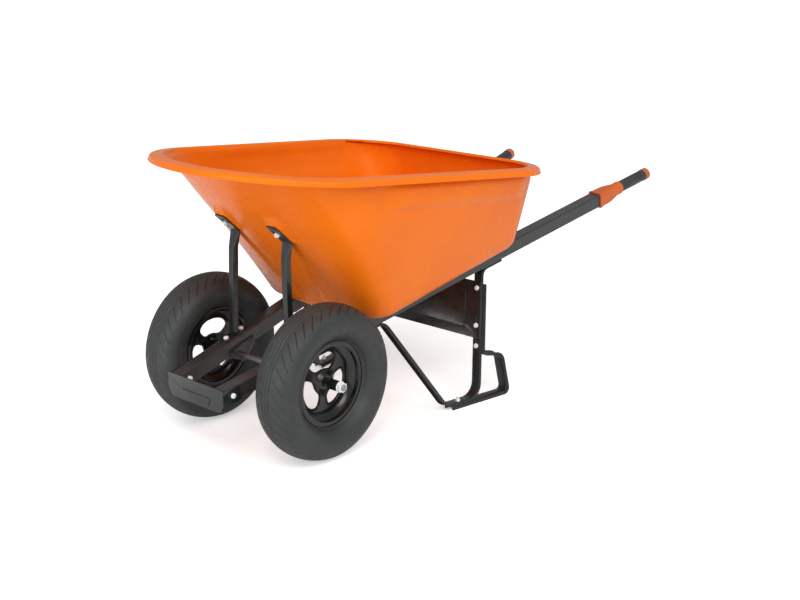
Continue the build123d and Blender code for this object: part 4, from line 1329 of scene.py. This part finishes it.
def measured(group: set[bmesh.types.BMVert]) -> Spot:
    """A fastener's axis and length, from the vertices of its solid.

    Args:
        group: the solid's vertices.

    Returns:
        Its place.
    """
    faces = sorted({face for vert in group for face in vert.link_faces}, key=lambda face: face.index)
    sums: list[list[Any]] = []
    for face in faces:
        normal, area = face.normal, face.calc_area()
        for item in sums:
            if abs(item[0].dot(normal)) > 0.9995:
                item[1] += area
                break
        else:
            sums.append([normal.copy(), area])
    axis = max(sums, key=lambda item: item[1])[0].normalized()
    points = [vert.co.copy() for vert in sorted(group, key=lambda vert: vert.index)]
    centre = sum(points, Vector()) / len(points)
    heights = [(point - centre).dot(axis) for point in points]
    radii = [((point - centre) - axis * h).length for point, h in zip(points, heights)]
    wide = [h for h, r in zip(heights, radii) if r > max(radii) - 2e-4]
    low, high = min(heights), max(heights)
    if sum(wide) / len(wide) < (low + high) / 2:
        axis, low, high = -axis, -high, -low
        wide = [-h for h in wide]
    middle = axis_point(points, centre, axis)
    return Spot(middle + axis * low, axis, high - low, min(wide) - low)


def axis_point(points: Sequence[Vector], centre: Vector, axis: Vector) -> Vector:
    """The point on a fastener's axis level with its vertices' mean.

    Args:
        points: its vertices.
        centre: their mean.
        axis: its axis.

    Returns:
        The point.
    """
    across = axis.orthogonal().normalized()
    up = axis.cross(across)
    u = [(point - centre).dot(across) for point in points]
    v = [(point - centre).dot(up) for point in points]
    return centre + across * (min(u) + max(u)) / 2 + up * (min(v) + max(v)) / 2


AXLE_R = 8.0
AXLE_NUT_ACROSS = 24.0
AXLE_WASHER_R = 15.0
THREAD_START = 0.7
THREAD_PITCH = 1.25
THREAD_RISE = 0.6
THREAD_DEPTH = 0.45


class Kind(Enum):
    """The fasteners' shapes."""

    HEX_BOLT = "hex_bolt"
    CARRIAGE_BOLT = "carriage_bolt"
    NUT = "nut"
    WASHER = "washer"


@dataclass(frozen=True)
class FastenerSet:
    """One node's alike fasteners."""

    node: str
    kind: Kind
    radius: float = 4.0
    across: float = 13.0
    washer_r: float = 14.0

    def reach(self, radius: float, angle: float) -> float:
        """A radius at an angle, held inside the hexagon of a bolt's head or a nut.

        Args:
            radius: the radius of the round profile.
            angle: the angle about the axis.

        Returns:
            The radius to use.
        """
        if self.kind in (Kind.CARRIAGE_BOLT, Kind.WASHER):
            return radius
        turn = (angle + math.pi / 6) % (math.pi / 3) - math.pi / 6
        return min(radius, self.across / 2 / math.cos(turn))

    def shank(self, head: float) -> list[Pair]:
        """A bolt's threaded shank from its foot up to its head, as (radius, height) in millimetres.

        Args:
            head: how high the head starts.

        Returns:
            The shank's profile.
        """
        r = self.radius
        points = [(r - 1, 0.0)]
        height = THREAD_START
        while height < head - 5.2:
            points += [(r - THREAD_DEPTH, height), (r - 0.02, height + THREAD_RISE)]
            height += THREAD_PITCH
        return points + [(r, head - 3.5), (r, head - 0.01)]

    def profile(self, length: float, head: float) -> list[Pair]:
        """The fastener's profile from its foot, as (radius, height) in millimetres.

        Args:
            length: how long it is.
            head: how high its head starts.

        Returns:
            The profile.
        """
        corner = self.across / math.sqrt(3)
        r, w = self.radius, self.washer_r
        if self.kind is Kind.HEX_BOLT:
            block = [(corner * 0.93, head), (corner, head + 0.5), (corner, length - 0.9)]
            return self.shank(head) + block + [(corner * 0.86, length)]
        if self.kind is Kind.CARRIAGE_BOLT:
            brim, turns = head + 1.2, np.linspace(0.1, 1.4, 8)
            dome = [(10 * math.cos(a), brim + (length - brim) * math.sin(a)) for a in turns]
            return self.shank(head) + [(9.9, head), (10, head + 0.8), *dome]
        if self.kind is Kind.NUT:
            body = [(corner * 0.86, 0), (corner, 0.9), (corner, length - 0.9), (corner * 0.86, length)]
            return body + [(r + 0.9, length), (r + 0.05, length - 0.8), (r + 0.05, 0.8), (r + 0.9, 0)]
        body = [(w - 0.4, 0), (w, 0.4), (w, length - 0.4), (w - 0.4, length)]
        return body + [(r + 0.5, length), (r + 0.2, length - 0.3), (r + 0.2, 0.3), (r + 0.5, 0)]

    def pattern(self, length: float, head: float) -> bpy.types.Object:
        """One fastener at the origin, its foot down.

        Args:
            length: how long it is, in metres.
            head: how high its head starts, in metres.

        Returns:
            The fastener's mesh object.
        """
        profile = self.profile(length / MM, head / MM)
        rows = [round_ring(height, 36, partial(self.reach, radius)) for radius, height in profile]
        return shell_from_rows(self.node + "_pattern", rows, self.kind in (Kind.NUT, Kind.WASHER))

    def build(self, workshop: Workshop) -> None:
        """Makes the node's fasteners as one mesh.

        Args:
            workshop: the trees that place the copies.
        """
        groups: dict[float, list[Spot]] = {}
        for spot in spots_of(self.node):
            groups.setdefault(round(spot.length / MM, 1), []).append(spot)
        meshes = []
        for index, alike in enumerate(groups.values()):
            piece = self.pattern(alike[0].length, alike[0].head_start)
            placed = [pointing(spot.foot, spot.axis) for spot in alike]
            meshes.append(workshop.repeat(f"{self.node}_set{index}", piece, placed, ZINC))
        dressed(joined(meshes, self.node + "_zinc"), Body.CHASSIS, "zinc", self.node)


def joined(objects: Sequence[bpy.types.Object], name: str) -> bpy.types.Object:
    """Several meshes of one finish as one object.

    Args:
        objects: the meshes' objects, which are used up.
        name: the new object's name.

    Returns:
        The new object.
    """
    work = bmesh.new()
    for obj in objects:
        work.from_mesh(obj.data)
    mesh = bpy.data.meshes.new(name)
    work.to_mesh(mesh)
    work.free()
    mesh.materials.append(objects[0].data.materials[0])
    mesh.shade_smooth()
    for obj in objects:
        bpy.data.objects.remove(obj)
    return new_object(name, mesh)


# Frame and handles


def squared(half: float, power: float, angle: float) -> float:
    """The radius at an angle of a square of this half width, rounded until a circle at power 2."""
    return half / (abs(math.cos(angle)) ** power + abs(math.sin(angle)) ** power) ** (1 / power)


@dataclass
class Handle:
    """One rail's grip, collar and end cap."""

    side: Side
    collar_x: float = -1190.0
    front_x: float = -1306.0
    rear_x: float = -1424.0

    def along(self) -> Vector:
        """The rail's direction, rearwards."""
        return Vector((-1, self.side.value * RAIL_SPREAD, RAIL_RISE)).normalized()

    def at(self, x: float) -> Vector:
        """The rail's middle at x, in millimetres from under the axle."""
        return Vector((x, self.side.value * (RAIL_AXIS_Y - RAIL_SPREAD * x), RAIL_AXIS_Z - RAIL_RISE * x))

    def build_collar(self) -> None:
        """Makes the moulded sleeve between the square rail and the round grip."""
        start = self.at(self.collar_x)
        length = (self.at(self.front_x) - start).length
        outer = [
            (0, 24.2, 9), (1, 24.9, 9), (7, 24.9, 9), (8.4, 24.3, 9), (10, 23.3, 9), (30, 23.0, 9),
            (46, 22.8, 8), (56, 22.6, 6), (68, 22.0, 4.2), (80, 20.9, 3), (92, 20.0, 2.4), (102, 19.6, 2),
            (106, 20.4, 2), (110, 20.8, 2), (length - 2, 20.8, 2), (length - 0.2, 19.8, 2),
        ]
        inner = [(length - 0.2, 14.4, 2), (108, 14.4, 2), (62, 20.3, 9), (0, 20.3, 9)]
        rows = [round_ring(h, 96, partial(squared, half, power)) for h, half, power in outer + inner]
        piece = shell_from_rows(self.side.node("moulded_collar"), rows, wrap_rows=True)
        along = self.along()
        up = Vector((RAIL_RISE, 0, 1)).normalized()
        turn = Matrix((up.cross(along), up, along)).transposed().to_4x4()
        piece.data.transform(Matrix.Translation(in_frame(start)) @ turn)
        tidy_mesh(piece.data)
        sharpen(piece, 35)
        piece.data.materials.append(made(COLLAR_ORANGE))
        dressed(piece, Body.CHASSIS, "collar", self.side.node("grip_collar"))

    def build(self) -> None:
        """Makes the handle."""
        length = (self.at(self.rear_x) - self.at(self.front_x)).length
        front = [(14.3, 0.3), (16.4, 0), (17.6, 0.8), (18, 2.4), (18, 5), (17.2, 6), (17.2, 7.4), (17.9, 8.4)]
        rear = [(17.9, 8.4), (17.2, 7.4), (17.2, 6), (18, 5), (18, 1), (17.2, 0), (14.3, 0.2)]
        bulge = [(17.75 + 0.22 * math.sin(math.pi * i / 23), 12 + (length - 24) * i / 23) for i in range(24)]
        profile = front + bulge + [(radius, length - back) for radius, back in rear]
        rows = [round_ring(height, 64, partial(squared, radius, 2)) for radius, height in profile]
        piece = shell_from_rows(self.side.node("rubber_grip"), rows, wrap_rows=True)
        piece.data.transform(pointing(in_frame(self.at(self.front_x)), self.along()))
        piece.data.materials.append(made(GRIP_RUBBER))
        dressed(piece, Body.CHASSIS, "grip", self.side.node("grip"))
        self.build_collar()
        repaint(self.side.node("grip_cap"), CAP_ORANGE)


KEPT_PARTS = (
    ("rail", RAIL_BLACK), ("inner_tube", TUBE_RUBBER), ("valve_cap", CAP_BLACK), ("hub_bushes", NYLON),
)


@dataclass
class Chassis:
    """The bumper, braces, brackets, legs, guards, cross plate and rails."""

    workshop: Workshop

    def build(self) -> None:
        """Makes the frame's pieces."""
        for side in Side:
            for part, width in (("brace", 0.8), ("axle_bracket", 0.6), ("leg", 0.7), ("wear_guard", 0.7)):
                softened(side.node(part), Body.CHASSIS, FRAME_BLACK, "frame_steel", width)
            for part, finish in KEPT_PARTS:
                repaint(side.node(part), finish)
        for node in ("bumper", "cross_plate"):
            softened(node, Body.CHASSIS, FRAME_BLACK, "frame_steel", 0.8)
        for node in ("axle", "axle_spacers"):
            repaint(node, AXLE_STEEL)
        for fasteners in self.fasteners():
            fasteners.build(self.workshop)

    def fasteners(self) -> list[FastenerSet]:
        """Every node of bolts, nuts or washers.

        Returns:
            One set for each node.
        """
        steel, moulded = ("brace", "bumper", "foot", "leg"), ("tray", "tray_front")
        bolts = [FastenerSet(f"{place}_bolts", Kind.HEX_BOLT) for place in steel]
        domes = [FastenerSet(f"{place}_bolts", Kind.CARRIAGE_BOLT) for place in moulded]
        nuts = [FastenerSet(f"{place}_nuts", Kind.NUT) for place in steel + moulded]
        nuts.append(FastenerSet("axle_nuts", Kind.NUT, AXLE_R, AXLE_NUT_ACROSS))
        washers = [FastenerSet("axle_washers", Kind.WASHER, AXLE_R, washer_r=AXLE_WASHER_R)]
        return bolts + domes + nuts + washers + [FastenerSet("tray_washers", Kind.WASHER)]


# Studio


# Each soft light's name, place, target, side in metres and power in watts
LAMPS = (
    ("strip", (2.9, 1.9, 3.1), (0, 0, 0.6), 0.7, 20),
    ("key", (0.9, 3.4, 2.2), (0, 0, 0.4), 1.5, 24),
    ("front", (4.2, -0.4, 1.1), (0.2, 0, 0.4), 1.6, 40),
)
FLOOR_HALF = 60.0


@dataclass
class Studio:
    """The pale floor, the soft lights and the camera."""

    eye: Colour = (2.647284, 2.26313, 1.30925)
    ahead: Colour = (-0.7185, -0.6299, -0.2949)
    lens: float = 54.9

    def lamp(self, name: str, spot: Colour, target: Colour, size: float, power: float) -> None:
        """Adds one soft square light.

        Args:
            name: the light's name.
            spot: where it is.
            target: what it faces.
            size: its side, in metres.
            power: its power, in watts.
        """
        light = bpy.data.lights.new(name, "AREA")
        light.size = size
        light.energy = power
        lamp = new_object(name, light)
        lamp.location = spot
        lamp.rotation_euler = (Vector(target) - Vector(spot)).to_track_quat("-Z", "Y").to_euler()

    def sky(self, seen: float, felt: float) -> None:
        """Surrounds the scene with white.

        Args:
            seen: how bright the backdrop looks.
            felt: how bright it is as a light and in reflections.
        """
        world = bpy.data.worlds.new("studio")
        world.use_nodes = True
        writer = NodeWriter(world.node_tree)
        path = writer.add("ShaderNodeLightPath").outputs["Is Camera Ray"]
        choice = writer.add("ShaderNodeMapRange", {"Value": path, "To Min": felt, "To Max": seen})
        back = writer.tree.nodes["Background"]
        back.inputs["Color"].default_value = (1, 1, 1, 1)
        writer.tree.links.new(choice.outputs["Result"], back.inputs["Strength"])
        bpy.context.scene.world = world

    def sun(self, spot: Colour, power: float, spread: float) -> None:
        """Adds the even light that the floor is white under.

        Args:
            spot: the direction it comes from.
            power: its strength.
            spread: its width, in degrees.
        """
        light = bpy.data.lights.new("sun", "SUN")
        light.energy = power
        light.angle = math.radians(spread)
        lamp = new_object("sun", light)
        lamp.rotation_euler = Vector(spot).to_track_quat("Z", "Y").to_euler()

    def build(self) -> None:
        """Sets the studio up."""
        signs = ((-1, -1), (1, -1), (1, 1), (-1, 1))
        corners = [Vector((x * FLOOR_HALF, y * FLOOR_HALF, 0)) for x, y in signs]
        floor = mesh_object("studio_floor", corners, [[0, 1, 2, 3]])
        floor.data.materials.append(made(FLOOR))
        self.sky(1.0, 0.42)
        self.sun((2.2, 2.6, 4.2), 1.6, 70)
        for lamp in LAMPS:
            self.lamp(*lamp)
        camera = bpy.data.cameras.new("camera")
        camera.lens = self.lens
        camera.sensor_width = 36
        eye = new_object("camera", camera)
        eye.location = self.eye
        eye.rotation_euler = Vector(self.ahead).to_track_quat("-Z", "Y").to_euler()
        bpy.context.scene.camera = eye
        bpy.context.scene.view_settings.view_transform = "Standard"


def main() -> None:
    """Builds every piece, then the studio."""
    logging.basicConfig(level=logging.INFO)
    workshop = Workshop()
    Tray().build()
    for side in Side:
        Wheel(side, workshop).build()
        Handle(side).build()
    Chassis(workshop).build()
    Studio().build()
    bpy.context.view_layer.update()


if __name__ == "__main__":
    main()
